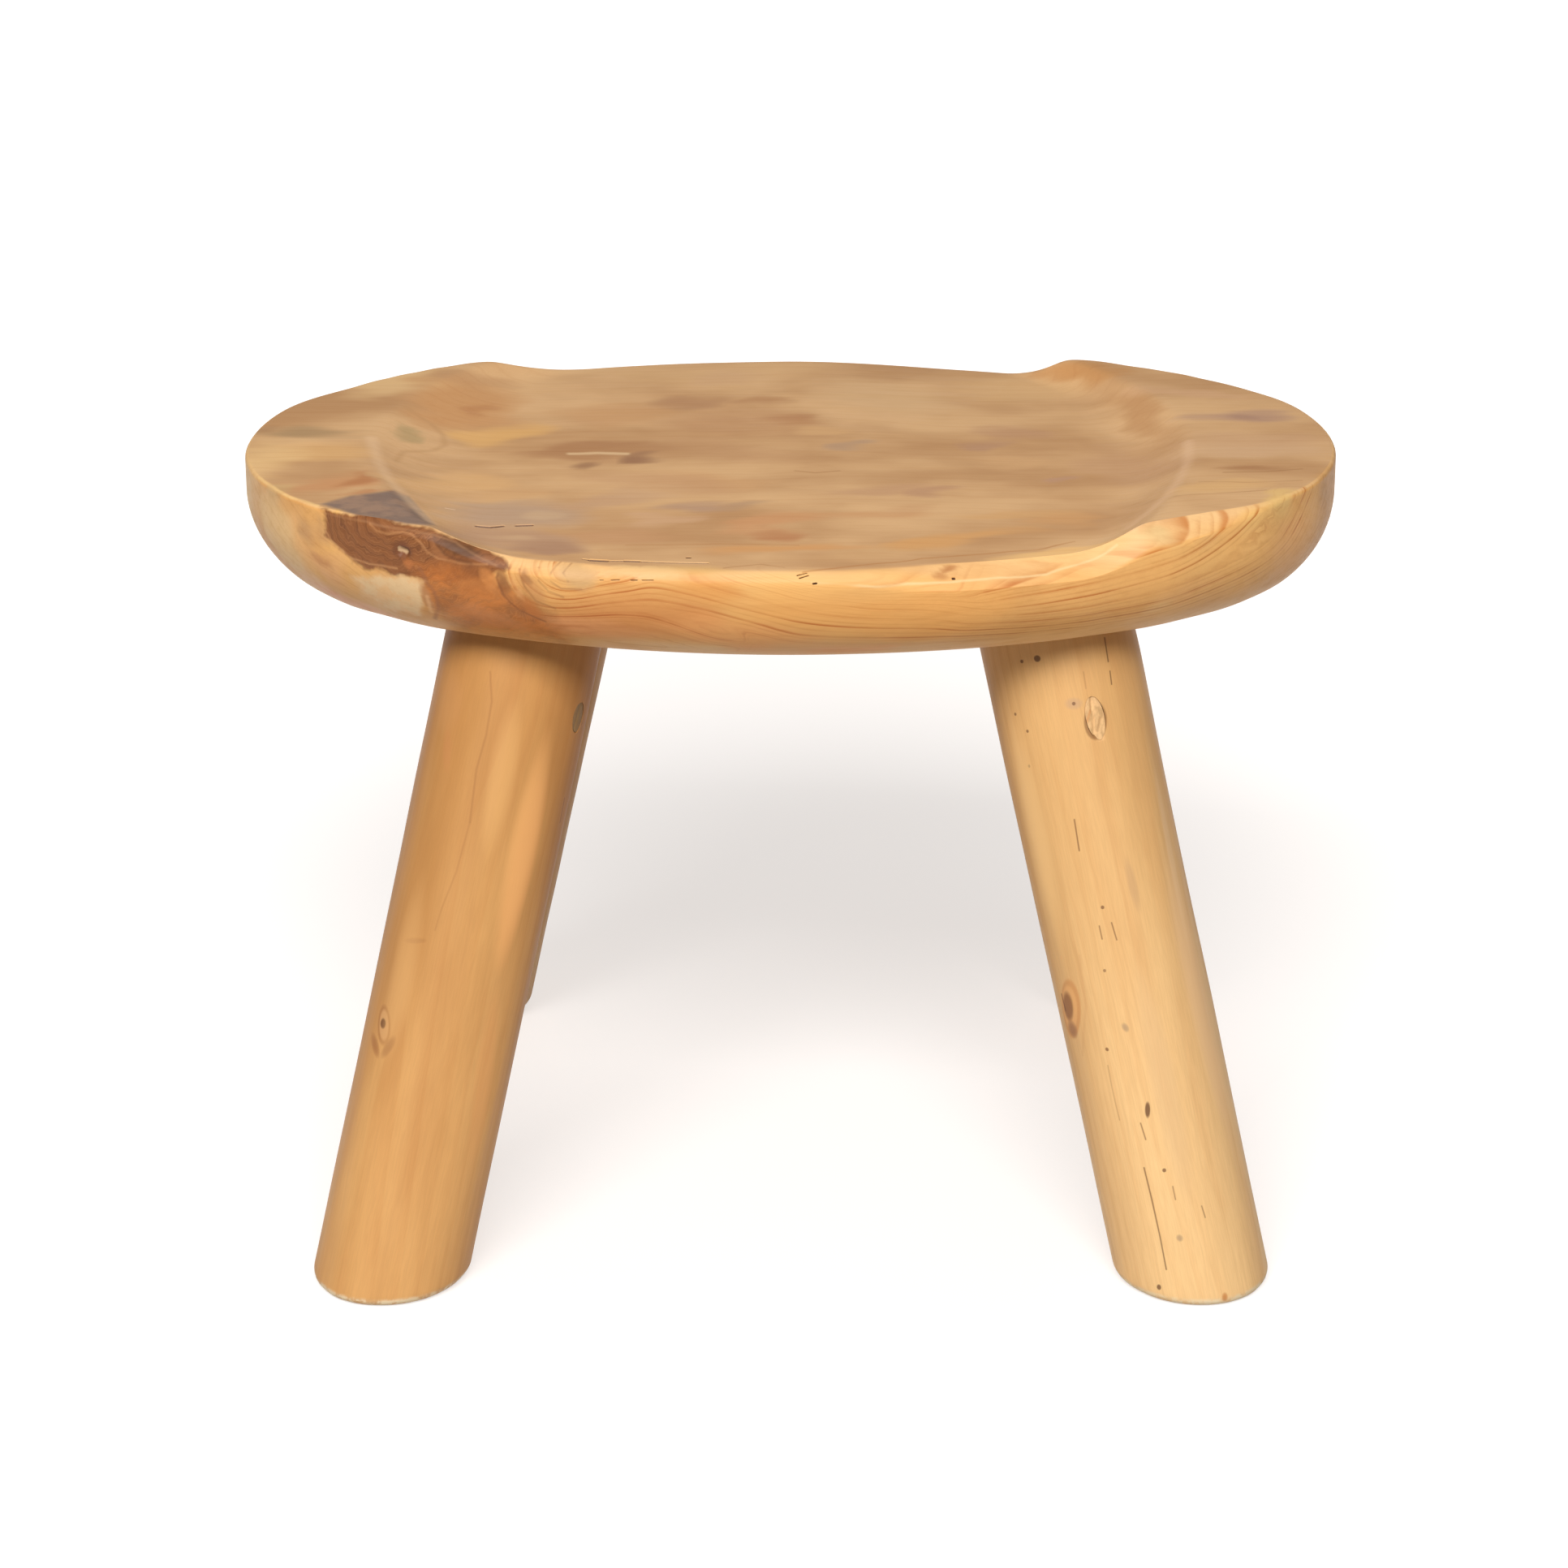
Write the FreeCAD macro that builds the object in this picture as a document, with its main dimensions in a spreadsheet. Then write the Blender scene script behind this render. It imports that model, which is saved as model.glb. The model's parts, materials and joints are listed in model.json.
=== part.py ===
"""Low stool with a thick scooped oval seat on four splayed round legs, in millimetres.

X runs along the seat, Y from the front (-Y) to the rear, Z up from the floor. Each leg ends
in a stub tenon that is glued into a mortise in the seat. Its shoulder sits flat in a shallow
socket, and a screw driven at a slant from the side of the leg locks the joint. A wooden plug
closes the screw's counterbore, cut flush with the leg.
"""
import FreeCAD, Part
import math
import os
import Sketcher

# Driving dimensions, lengths in millimetres and angles in degrees

SIZES = {
    "overall_height": 316,
    # seat slab, an oval of two end arcs and two side arcs
    "seat_width": 453,
    "seat_depth": 276,
    "seat_thickness": 54,
    "seat_end_radius": 111,
    "underside_radius": 38,
    "rim_radius": 6,
    # dish between two end walls, running out through the slab's front and rear rims
    "dish_margin": 60.5,
    "dish_end_radius": 195,
    "dish_hollow": 9,
    "dish_wall_radius": 28,
    # legs, round poles whose axes run from the floor to the underside of the seat, with their
    # ends placed from the seat's front and rear and from its two ends
    "leg_diameter": 64,
    "leg_top_inset": 84,
    "leg_foot_inset": 2,
    "front_top_margin": 119.5,
    "front_foot_margin": 60.5,
    "rear_left_top_margin": 127,
    "rear_left_foot_margin": 73,
    "rear_right_top_margin": 124,
    "rear_right_foot_margin": 71,
    "foot_edge_radius": 5,
    # joint of leg and seat
    "socket_sink": 3,
    "socket_clearance": 0.2,
    "tenon_diameter": 30,
    "tenon_length": 20,
    "tenon_chamfer": 1.5,
    "glue_gap": 0.15,
    "tenon_end_gap": 1,
    # slanted bores of the left and of the right legs: angle round the leg from its inner side,
    # angle to the leg's side, and drop along the leg from the underside of the seat
    "left_plug_angle": 81,
    "left_drill_angle": 40,
    "left_plug_drop": 38,
    "right_plug_angle": 159,
    "right_drill_angle": 26,
    "right_plug_drop": 46,
    # screw and plug
    "plug_diameter": 8,
    "plug_length": 12,
    "plug_clearance": 0.05,
    "screw_diameter": 5,
    "screw_length": 70,
    "screw_head_diameter": 7.4,
    "screw_head_thickness": 3,
    "screw_tip_length": 6,
    "screw_clearance": 0.1,
    "drive_width": 2.4,
    "drive_sink": 1.6,
    # length by which cutting shapes run past what they cut
    "overrun": 12,
}

# How far round the wall's arc each section of the dish lies, from its floor to its brim
WALL_ARC_SHARES = (0, 0.4, 0.75, 1)

# Each leg's margins and bore, and its directions along Y and X
LEGS = {
    "front_left": ("front", "left", -1, -1),
    "front_right": ("front", "right", -1, 1),
    "rear_left": ("rear_left", "left", 1, -1),
    "rear_right": ("rear_right", "right", 1, 1),
}

FULL_TURN = 360
# Millimetres within which two places count as one
TINY = 1e-4

doc = FreeCAD.newDocument("Stool")


# Formulas

def size(name):
    """The formula that reads one driving dimension."""
    return f"Sizes.{name}"


def half(name):
    """The formula of half a driving dimension."""
    return f"{size(name)} / 2"


def value(formula):
    """What a formula gives at the present sizes, as a plain number."""
    result = doc.Sizes.evalExpression(formula)
    return float(getattr(result, "Value", result))


def placed(at=("0", "0", "0"), yaw="0", pitch="0", roll="0"):
    """The formula of a placement at a point, turned about Z, Y and X."""
    x, y, z = at
    return f"placement(vector({x}; {y}; {z}); rotation({yaw}; {pitch}; {roll}))"


def raised(placement, height):
    """The formula of a placement moved along its own upward axis."""
    return f"{placement} * {placed(('0', '0', height))}"


UNDERSIDE = f"({size('overall_height')} - {size('seat_thickness')})"
# Depth along a slanted bore, from the side of the leg, of the step that the screw pulls on
SCREW_SEAT = f"({size('plug_length')} + {size('screw_head_thickness')})"


class LegPlace:
    """Formulas that place one leg, and the slanted bore in its side."""

    def __init__(self, name):
        margins, side, along_y, along_x = LEGS[name]
        foot_margin, top_margin = size(margins + "_foot_margin"), size(margins + "_top_margin")
        foot_inset, top_inset = size("leg_foot_inset"), size("leg_top_inset")
        foot_x = f"({along_x} * ({half('seat_width')} - {foot_margin}))"
        foot_y = f"({along_y} * ({half('seat_depth')} - {foot_inset}))"
        run_x = f"({along_x} * ({foot_margin} - {top_margin}))"
        run_y = f"({-along_y} * ({top_inset} - {foot_inset}))"
        self.top = (f"({foot_x} + {run_x})", f"({foot_y} + {run_y})")
        self.tilt = f"atan2(hypot({run_x}; {run_y}); {UNDERSIDE})"
        self.length = f"hypot(hypot({run_x}; {run_y}); {UNDERSIDE})"
        heading = f"atan2({run_y}; {run_x})"
        self.where = placed((foot_x, foot_y, "0"), yaw=heading, pitch=self.tilt)
        # the rear legs are drilled as mirror images of the front ones
        turn = f"({-along_x * along_y} * {size(side + '_plug_angle')})"
        height = f"({self.length} - {size(side + '_plug_drop')})"
        mouth = placed((half("leg_diameter"), "0", height),
                       pitch=f"-{size(side + '_drill_angle')}")
        self.bore = f"{placed(yaw=turn)} * {mouth}"
        self.bore_in_stool = f"{self.where} * {self.bore}"


# Sketches and features

def fill_sheet():
    """Write every driving dimension to the sheet, one named row each."""
    sheet = doc.addObject("Spreadsheet::Sheet", "Sizes")
    for row, (name, number) in enumerate(SIZES.items(), 1):
        sheet.set(f"A{row}", name)
        sheet.set(f"B{row}", str(number))
        sheet.setAlias(f"B{row}", name)
    doc.recompute()


def new_body(name, where):
    """An empty body with a label and a placement formula."""
    body = doc.addObject("PartDesign::Body", name)
    body.Label = name
    body.setExpression("Placement", where)
    return body


def new_cylinder(name, radius, height, where):
    """A cylinder that stands on its placement's base plane."""
    cylinder = doc.addObject("Part::Cylinder", name)
    cylinder.setExpression("Radius", radius)
    cylinder.setExpression("Height", height)
    cylinder.setExpression("Placement", where)
    return cylinder


def new_sketch(body, name, where=None):
    """An empty sketch on the body's base plane, moved by a placement formula."""
    sketch = body.newObject("Sketcher::SketchObject", name)
    base = next(item for item in body.Origin.OriginFeatures if item.Role == "XY_Plane")
    sketch.AttachmentSupport = [(base, "")]
    sketch.MapMode = "FlatFace"
    if where:
        sketch.setExpression("AttachmentOffset", where)
    return sketch


def bind(sketch, constraint, name, formula):
    """Add a constraint, name it and tie it to a formula."""
    index = sketch.addConstraint(constraint)
    sketch.renameConstraint(index, name)
    sketch.setExpression(f"Constraints.{name}", formula)


def disc_sketch(body, name, radius, where):
    """A circle about the sketch's origin."""
    sketch = new_sketch(body, name, where)
    start = value(radius)
    sketch.addGeometry(Part.Circle(FreeCAD.Vector(), FreeCAD.Vector(0, 0, 1), start))
    sketch.addConstraint(Sketcher.Constraint("Coincident", 0, 3, -1, 1))
    bind(sketch, Sketcher.Constraint("Radius", 0, start), "radius", radius)
    return sketch


def outline_sketch(body, name, where, corners):
    """A closed run of straight lines between corners, given as pairs of formulas."""
    sketch = new_sketch(body, name, where)
    points = [FreeCAD.Vector(value(across), value(along)) for across, along in corners]
    count = len(points)
    for index, point in enumerate(points):
        sketch.addGeometry(Part.LineSegment(point, points[(index + 1) % count]))
    for index in range(count):
        after = (index + 1) % count
        sketch.addConstraint(Sketcher.Constraint("Coincident", index, 2, after, 1))
    for index, corner in enumerate(corners):
        for kind, axis, formula, start in zip("XY", (-2, -1), corner, points[index]):
            if formula == "0":
                sketch.addConstraint(Sketcher.Constraint("PointOnObject", index, 1, axis))
            else:
                distance = Sketcher.Constraint(f"Distance{kind}", -1, 1, index, 1, start)
                bind(sketch, distance, f"corner_{index}_{kind}", formula)
    return sketch


def arc(centre, radius, start, end):
    """An arc in a sketch's plane, with its angles in radians."""
    circle = Part.Circle(centre, FreeCAD.Vector(0, 0, 1), radius)
    return Part.ArcOfCircle(circle, start, end)


def padded(body, name, sketch, length):
    """Raise a sketch to a solid."""
    pad = body.newObject("PartDesign::Pad", name)
    pad.Profile = sketch
    pad.setExpression("Length", length)
    return pad


def pocketed(body, name, sketch, length, upwards):
    """Cut a sketch's area away, above or below its plane."""
    pocket = body.newObject("PartDesign::Pocket", name)
    pocket.Profile = sketch
    pocket.Reversed = upwards
    pocket.setExpression("Length", length)
    return pocket


def turned(body, kind, name, corners, where):
    """Add or cut a half section that is turned about its placement's upward axis."""
    section = outline_sketch(body, f"{name}_section", f"{where} * {placed(roll='90')}", corners)
    feature = body.newObject(kind, name)
    feature.Profile = section
    feature.ReferenceAxis = (section, ["V_Axis"])
    feature.Angle = FULL_TURN
    return feature


def dressed(body, kind, name, base, test, width, formula):
    """Round or chamfer those edges of a feature that pass a test."""
    doc.recompute()
    shape = base.Shape
    chosen = []
    for number, edge in enumerate(shape.Edges, 1):
        if test(edge, shape.ancestorsOfType(edge, Part.Face)):
            chosen.append(f"Edge{number}")
    feature = body.newObject(kind, name)
    feature.Base = (base, chosen)
    feature.setExpression(width, formula)
    return feature


def middle(edge):
    """The point half way along an edge."""
    return edge.valueAt((edge.FirstParameter + edge.LastParameter) / 2)


# Seat

def seat_outline(body):
    """The slab's oval: two end arcs joined by two flatter side arcs, all tangent."""
    half_depth, end_radius = half("seat_depth"), size("seat_end_radius")
    end_centre = f"({half('seat_width')} - {end_radius})"
    side_radius = (
        f"({end_centre}^2 + ({half_depth})^2 - {end_radius}^2)"
        f" / (2 * ({half_depth} - {end_radius}))"
    )
    end_x, end, side = value(end_centre), value(end_radius), value(side_radius)
    side_y = value(half_depth) - side
    turn = math.atan2(-side_y, end_x)
    right, rear = FreeCAD.Vector(end_x, 0), FreeCAD.Vector(0, side_y)
    sketch = new_sketch(body, "seat_outline")
    sketch.addGeometry(arc(right, end, -turn, turn))
    sketch.addGeometry(arc(rear, side, turn, math.pi - turn))
    sketch.addGeometry(arc(-right, end, math.pi - turn, math.pi + turn))
    sketch.addGeometry(arc(-rear, side, math.pi + turn, 2 * math.pi - turn))
    for index in range(4):
        after = (index + 1) % 4
        sketch.addConstraint(Sketcher.Constraint("Tangent", index, 2, after, 1))
    for index in (0, 2):
        sketch.addConstraint(Sketcher.Constraint("PointOnObject", index, 3, -1))
    bind(sketch, Sketcher.Constraint("DistanceX", -1, 1, 0, 3, end_x), "right", end_centre)
    bind(sketch, Sketcher.Constraint("DistanceX", 2, 3, -1, 1, end_x), "left", end_centre)
    bind(sketch, Sketcher.Constraint("Radius", 0, end), "end_radius", end_radius)
    bind(sketch, Sketcher.Constraint("Radius", 1, side), "side_radius", side_radius)
    sketch.addConstraint(Sketcher.Constraint("Equal", 0, 2))
    sketch.addConstraint(Sketcher.Constraint("Equal", 1, 3))
    return sketch


def dish_section(body, name, inset, height):
    """Plan of the dish at one height: two end arcs that meet beyond the seat's rims.

    inset moves both arcs in from the brim."""
    half_width = f"({half('seat_width')} - {size('dish_margin')} - ({inset}))"
    end_radius = f"({size('dish_end_radius')} - ({inset}))"
    reach = f"sqrt({half_width} * (2 * {end_radius} - {half_width}))"
    across, end, along = value(half_width), value(end_radius), value(reach)
    centre = FreeCAD.Vector(across - end, 0)
    turn = math.atan2(along, -centre.x)
    sketch = new_sketch(body, name, placed(("0", "0", height)))
    sketch.addGeometry(arc(centre, end, -turn, turn))
    sketch.addGeometry(arc(-centre, end, math.pi - turn, math.pi + turn))
    sketch.addConstraint(Sketcher.Constraint("Coincident", 0, 2, 1, 1))
    sketch.addConstraint(Sketcher.Constraint("Coincident", 1, 2, 0, 1))
    sketch.addConstraint(Sketcher.Constraint("PointOnObject", 0, 3, -1))
    sketch.addConstraint(Sketcher.Constraint("PointOnObject", 1, 3, -1))
    sketch.addConstraint(Sketcher.Constraint("PointOnObject", 0, 2, -2))
    sketch.addConstraint(Sketcher.Constraint("Equal", 0, 1))
    bind(sketch, Sketcher.Constraint("Radius", 0, end), "end_radius", end_radius)
    bind(sketch, Sketcher.Constraint("DistanceY", -1, 1, 0, 2, along), "reach", reach)
    return sketch


def dish_sections(body):
    """The dish's plans at steps up its rounded end walls, and one above the seat."""
    top, wall = size("seat_thickness"), size("dish_wall_radius")
    brim_angle = f"acos(1 - {size('dish_hollow')} / {wall})"
    sections = []
    for number, share in enumerate(WALL_ARC_SHARES):
        angle = f"{brim_angle} * {share}"
        inset = f"{wall} * (sin({brim_angle}) - sin({angle}))"
        height = f"{top} - {size('dish_hollow')} + {wall} * (1 - cos({angle}))"
        sections.append(dish_section(body, f"dish_section_{number}", inset, height))
    above = f"{top} + {size('rim_radius')}"
    outset = f"-{size('rim_radius')} / tan({brim_angle})"
    sections.append(dish_section(body, "dish_section_above", outset, above))
    return sections


def build_seat_blank():
    """The slab with its rounded underside, its dish and its softened edges, without bores."""
    body = new_body("seat_blank", placed(("0", "0", UNDERSIDE)))
    slab = padded(body, "slab", seat_outline(body), size("seat_thickness"))

    def at_bottom(edge, faces):
        return abs(middle(edge).z) < TINY

    dressed(body, "PartDesign::Fillet", "rounded_underside", slab, at_bottom,
            "Radius", size("underside_radius"))
    sections = dish_sections(body)
    dish = body.newObject("PartDesign::SubtractiveLoft", "dish")
    dish.Profile = sections[0]
    dish.Sections = sections[1:]
    top = value(size("seat_thickness"))
    floor = top - value(size("dish_hollow"))

    def on_rim_or_brim(edge, faces):
        upright = any(isinstance(face.Surface, Part.Cylinder) for face in faces)
        walled = any(isinstance(face.Surface, Part.BSplineSurface) for face in faces)
        seam = isinstance(edge.Curve, Part.Line)
        height = middle(edge).z
        on_rim = upright and not seam and height > floor - TINY
        return on_rim or (walled and abs(height - top) < TINY)

    dressed(body, "PartDesign::Fillet", "softened_edges", dish, on_rim_or_brim,
            "Radius", size("rim_radius"))
    return body


def seat_cutters(name, place):
    """What one leg and its screw need cut away in the seat."""
    overrun = size("overrun")
    around = new_cylinder(f"{name}_socket_bore",
                          f"{half('leg_diameter')} + {size('socket_clearance')}",
                          f"{place.length} + {size('leg_diameter')}", place.where)
    below = placed((*place.top, f"{UNDERSIDE} - {overrun}"))
    level = new_cylinder(f"{name}_socket_level", size("leg_diameter"),
                         f"{overrun} + {size('socket_sink')}", below)
    socket = doc.addObject("Part::Common", f"{name}_socket")
    socket.Base, socket.Tool = around, level
    mortise = new_cylinder(f"{name}_mortise", f"{half('tenon_diameter')} + {size('glue_gap')}",
                           f"{overrun} + {size('tenon_length')} + {size('tenon_end_gap')}",
                           raised(place.where, f"{place.length} - {overrun}"))
    pilot = new_cylinder(f"{name}_pilot_hole", half("screw_diameter"), size("screw_length"),
                         raised(place.bore_in_stool, SCREW_SEAT))
    return [socket, mortise, pilot]


def build_seat(places):
    """The seat blank with every socket, mortise and pilot hole cut into its underside."""
    bores = doc.addObject("Part::MultiFuse", "seat_bores")
    bores.Shapes = [tool for name, place in places.items() for tool in seat_cutters(name, place)]
    seat = doc.addObject("Part::Cut", "seat")
    seat.Label = "seat"
    seat.Base, seat.Tool = build_seat_blank(), bores
    return seat


# Legs

def build_leg(name, place):
    """A round pole cut level at its foot and its shoulder, with its tenon and its bore."""
    body = new_body(f"{name}_leg", place.where)
    radius, overrun = half("leg_diameter"), size("overrun")
    # a level cut slants across the pole and reaches this far along it from its middle
    reach = f"({radius} * tan({place.tilt}) + {overrun})"
    shoulder = f"({place.length} + {size('socket_sink')} / cos({place.tilt}))"
    pole = disc_sketch(body, "pole_section", radius, placed(("0", "0", f"-{reach}")))
    padded(body, "pole", pole, f"{shoulder} + 2 * {reach}")
    at_floor = placed(pitch=f"-{place.tilt}")
    floor = disc_sketch(body, "floor_cut", size("leg_diameter"), at_floor)
    foot = pocketed(body, "level_foot", floor, f"2 * {reach}", upwards=False)

    def on_floor(edge, faces):
        return abs(body.Placement.multVec(middle(edge)).z) < TINY

    dressed(body, "PartDesign::Fillet", "rounded_foot", foot, on_floor,
            "Radius", size("foot_edge_radius"))
    at_shoulder = placed(("0", "0", shoulder), pitch=f"-{place.tilt}")
    above = disc_sketch(body, "shoulder_cut", size("leg_diameter"), at_shoulder)
    pocketed(body, "level_shoulder", above, f"2 * {reach}", upwards=True)
    # the tenon is rooted inside the pole, below the lower side of the shoulder
    root = f"({shoulder} - {reach})"
    end = f"({place.length} + {size('tenon_length')})"
    core = disc_sketch(body, "tenon_section", half("tenon_diameter"), placed(("0", "0", root)))
    tenon = padded(body, "tenon", core, f"{end} - {root}")
    tenon_top = value(end)

    def at_end(edge, faces):
        return abs(middle(edge).z - tenon_top) < TINY

    dressed(body, "PartDesign::Chamfer", "tenon_lead", tenon, at_end,
            "Size", size("tenon_chamfer"))
    wide = half("plug_diameter")
    narrow = f"({half('screw_diameter')} + {size('screw_clearance')})"
    far_end = f"{SCREW_SEAT} + {size('screw_length')} + {overrun}"
    turned(body, "PartDesign::Groove", "screw_bore", [
        ("0", f"-{overrun}"), (wide, f"-{overrun}"), (wide, SCREW_SEAT),
        (narrow, SCREW_SEAT), (narrow, far_end), ("0", far_end),
    ], place.bore)
    return body


# Screws and plugs

def build_screw(name, place):
    """A pan-headed wood screw with a square drive, its head at the bottom of the bore."""
    body = new_body(f"{name}_screw", raised(place.bore_in_stool, SCREW_SEAT))
    head_top = f"-{size('screw_head_thickness')}"
    head, shank = half("screw_head_diameter"), half("screw_diameter")
    turned(body, "PartDesign::Revolution", "screw_blank", [
        ("0", head_top), (head, head_top), (head, "0"), (shank, "0"),
        (shank, f"{size('screw_length')} - {size('screw_tip_length')}"),
        ("0", size("screw_length")),
    ], placed())
    side = half("drive_width")
    corners = [(f"-{side}", f"-{side}"), (side, f"-{side}"), (side, side), (f"-{side}", side)]
    drive = outline_sketch(body, "drive_section", placed(("0", "0", head_top)), corners)
    pocketed(body, "square_drive", drive, size("drive_sink"), upwards=True)
    return body


def build_plug(name, place):
    """A short dowel along the bore, cut flush with the round side of the leg."""
    overrun = size("overrun")
    dowel = new_cylinder(f"{name}_dowel", f"{half('plug_diameter')} - {size('plug_clearance')}",
                         f"{overrun} + {size('plug_length')}",
                         raised(place.bore_in_stool, f"-{overrun}"))
    side = new_cylinder(f"{name}_leg_side", half("leg_diameter"), place.length, place.where)
    plug = doc.addObject("Part::Common", f"{name}_plug")
    plug.Label = f"{name}_plug"
    plug.Base, plug.Tool = dowel, side
    return plug


# Checks and files

def check_document(nodes):
    """Stop if a feature failed, a cut removed nothing or a node isn't one sound solid."""
    for item in doc.Objects:
        if {"Invalid", "Error"} & set(item.State):
            raise RuntimeError(f"{item.Label} failed: {item.State}")
        if item.TypeId in ("PartDesign::Pocket", "PartDesign::Groove",
                           "PartDesign::SubtractiveLoft"):
            removed = item.BaseFeature.Shape.Volume - item.Shape.Volume
            if removed < TINY:
                raise RuntimeError(f"{item.Label} cuts nothing")
    for node in nodes:
        shape = node.Shape
        if shape.isNull() or not shape.isValid() or len(shape.Solids) != 1:
            raise RuntimeError(f"{node.Label} isn't one sound solid")
        print(f"{node.Label}: {shape.Volume:.0f} cubic mm")


fill_sheet()
places = {name: LegPlace(name) for name in LEGS}
nodes = [build_seat(places)]
for leg, place in places.items():
    nodes += [build_leg(leg, place), build_screw(leg, place), build_plug(leg, place)]
doc.recompute()
check_document(nodes)
os.makedirs("parts", exist_ok=True)
for node in nodes:
    node.Shape.exportStep(f"parts/{node.Label}.step")
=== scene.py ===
"""Looks of a low wooden stool: a thick scooped seat on four round legs.

Sizes are in millimetres and become metres when a piece is finished. A place given in pixels is
read in the photograph's frame of 1932 by 1932 and then laid on the piece itself.
"""
import bmesh
import bpy
import json
import math
from mathutils import Matrix, Vector, noise
from mathutils.bvhtree import BVHTree
from mathutils.kdtree import KDTree

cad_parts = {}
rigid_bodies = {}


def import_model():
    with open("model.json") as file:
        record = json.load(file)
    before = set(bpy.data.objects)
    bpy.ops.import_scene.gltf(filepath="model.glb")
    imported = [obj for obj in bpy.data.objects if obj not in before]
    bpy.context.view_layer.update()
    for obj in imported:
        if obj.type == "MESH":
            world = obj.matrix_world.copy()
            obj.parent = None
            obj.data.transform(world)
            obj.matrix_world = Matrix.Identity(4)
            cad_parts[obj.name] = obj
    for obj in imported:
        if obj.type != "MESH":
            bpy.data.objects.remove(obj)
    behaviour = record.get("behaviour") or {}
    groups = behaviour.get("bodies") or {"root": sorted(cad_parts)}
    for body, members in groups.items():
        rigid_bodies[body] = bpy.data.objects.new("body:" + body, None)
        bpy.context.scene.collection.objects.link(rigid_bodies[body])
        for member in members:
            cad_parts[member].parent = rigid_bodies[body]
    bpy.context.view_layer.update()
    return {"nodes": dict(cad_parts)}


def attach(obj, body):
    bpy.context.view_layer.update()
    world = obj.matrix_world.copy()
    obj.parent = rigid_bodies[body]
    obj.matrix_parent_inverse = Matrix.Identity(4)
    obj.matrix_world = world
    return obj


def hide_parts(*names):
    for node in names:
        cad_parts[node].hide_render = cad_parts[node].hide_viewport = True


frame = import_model()

MM = 0.001
FRAME_PIXELS = 1932

# Shifts drawn from noise start from this seed, so that they are the same in every run
DRIFT_SEED = 5
noise.seed_set(DRIFT_SEED)

# Light that reaches a surface, as a share of the front lamp's: where that lamp stands, what comes
# from all around and what comes off the floor
LIGHT_FROM = Vector((-0.25, -1.8, 1.93)).normalized()
LIGHT_AROUND = 0.12
LIGHT_FROM_BELOW = 0.15
BRIGHTEST_WOOD = 0.9

# Camera: its lens, place and turns, and how far off the stool stands
LENS_PIXELS = 6085.58
CAMERA_AT = Vector((6.086, -1955.58, 958.91))
LOOKS_DOWN = 0.38657
LOOKS_LEFT = 0.00468
ROLL = -0.00246
SENSOR = 36
STOOL_DISTANCE = 2100

# Seat, with its outline of four arcs
FLOOR_TO_SEAT = 262
SEAT_TOP = 316
HALF_WIDTH = 226.5
HALF_DEPTH = 138
END_RADIUS = 111
END_CENTRE = HALF_WIDTH - END_RADIUS
SIDE_CENTRE = ((END_CENTRE ** 2 + HALF_DEPTH ** 2 - END_RADIUS ** 2)
               / (2 * (HALF_DEPTH - END_RADIUS)) - HALF_DEPTH)
SIDE_RADIUS = SIDE_CENTRE + HALF_DEPTH
UNDERSIDE_RADIUS = 38
UNDERSIDE_FULLNESS = 2.06
SEAT_CUTS = (184, 112, 34)
DISH_DEPTH = 9.4
# Share of the side's rows in the rim's rounding, and in that and the upright wall together
RIM_ROWS = 0.24
WALL_ROWS = 0.34

# How far the hand-cut outline stands out of the plain oval: (place along the width, amount)
REAR_OUTLINE = ((-230, -0.4), (-216, 0), (-193, -2.4), (-178, -0.8), (-166, 0.8), (-152, 3.1),
                (-137, 4.8), (-112, 5), (-60, 2.6), (0, 1.5), (60, 2.2), (104, 3.8), (132, 4),
                (151, 1.8), (168, 0.6), (180, -0.6), (197, -0.4), (212, 1), (230, -0.4))
FRONT_OUTLINE = ((-230, 0), (-216, -0.4), (-198, -1.2), (-178, -2.8), (-150, -1.2), (-100, -1.2),
                 (0, -0.9), (110, -1), (150, -0.9), (176, -2.8), (200, -2), (216, -0.6),
                 (230, -0.2))

# Legs: foot and top of each axis, then the turn, the slant and the drop below the seat of the
# bore in its side
LEG_RADIUS = 32
LEG_STEPS = 132
LEGS = {
    "front_left": ((-166, -136), (-107, -54), -81, 40, 38),
    "front_right": ((166, -136), (107, -54), 159, 26, 46),
    "rear_left": ((-153.5, 136), (-99.5, 54), 81, 40, 38),
    "rear_right": ((155.5, 136), (102.5, 54), -159, 26, 46),
}
LEG_TAPER = {"front_left": 0.35, "front_right": 0.75, "rear_left": 0.8, "rear_right": 1.2}
SOCKET_SINK = 3
SHOULDER_INNER = 24
TENON_RADIUS = 15
TENON_LENGTH = 20
TENON_CHAMFER = 1.5
FOOT_ROUND = 5
PLUG_RADIUS = 4
PLUG_LENGTH = 12
SCREW_RADIUS = 2.5
SCREW_LENGTH = 70
SCREW_HEAD = 3
SHARP_ANGLE = math.radians(38)

# Stains and some painted shade on the seat: how much wider and stronger than drawn they are laid
STAIN_SPREAD = 1.2
STAIN_DEPTH = 1.25


# Camera and light

def set_camera():
    """The camera where the photograph was taken from."""
    data = bpy.data.cameras.new("camera")
    data.sensor_width = SENSOR
    data.lens = LENS_PIXELS / FRAME_PIXELS * SENSOR
    data.clip_end = 50
    camera = bpy.data.objects.new("camera", data)
    turn = Matrix.Rotation(LOOKS_LEFT, 4, "Z")
    tilt = Matrix.Rotation(math.pi / 2 - LOOKS_DOWN, 4, "X")
    roll = Matrix.Rotation(ROLL, 4, "Z")
    camera.matrix_world = Matrix.Translation(CAMERA_AT * MM) @ turn @ tilt @ roll
    bpy.context.scene.collection.objects.link(camera)
    bpy.context.scene.camera = camera
    return camera


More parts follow.
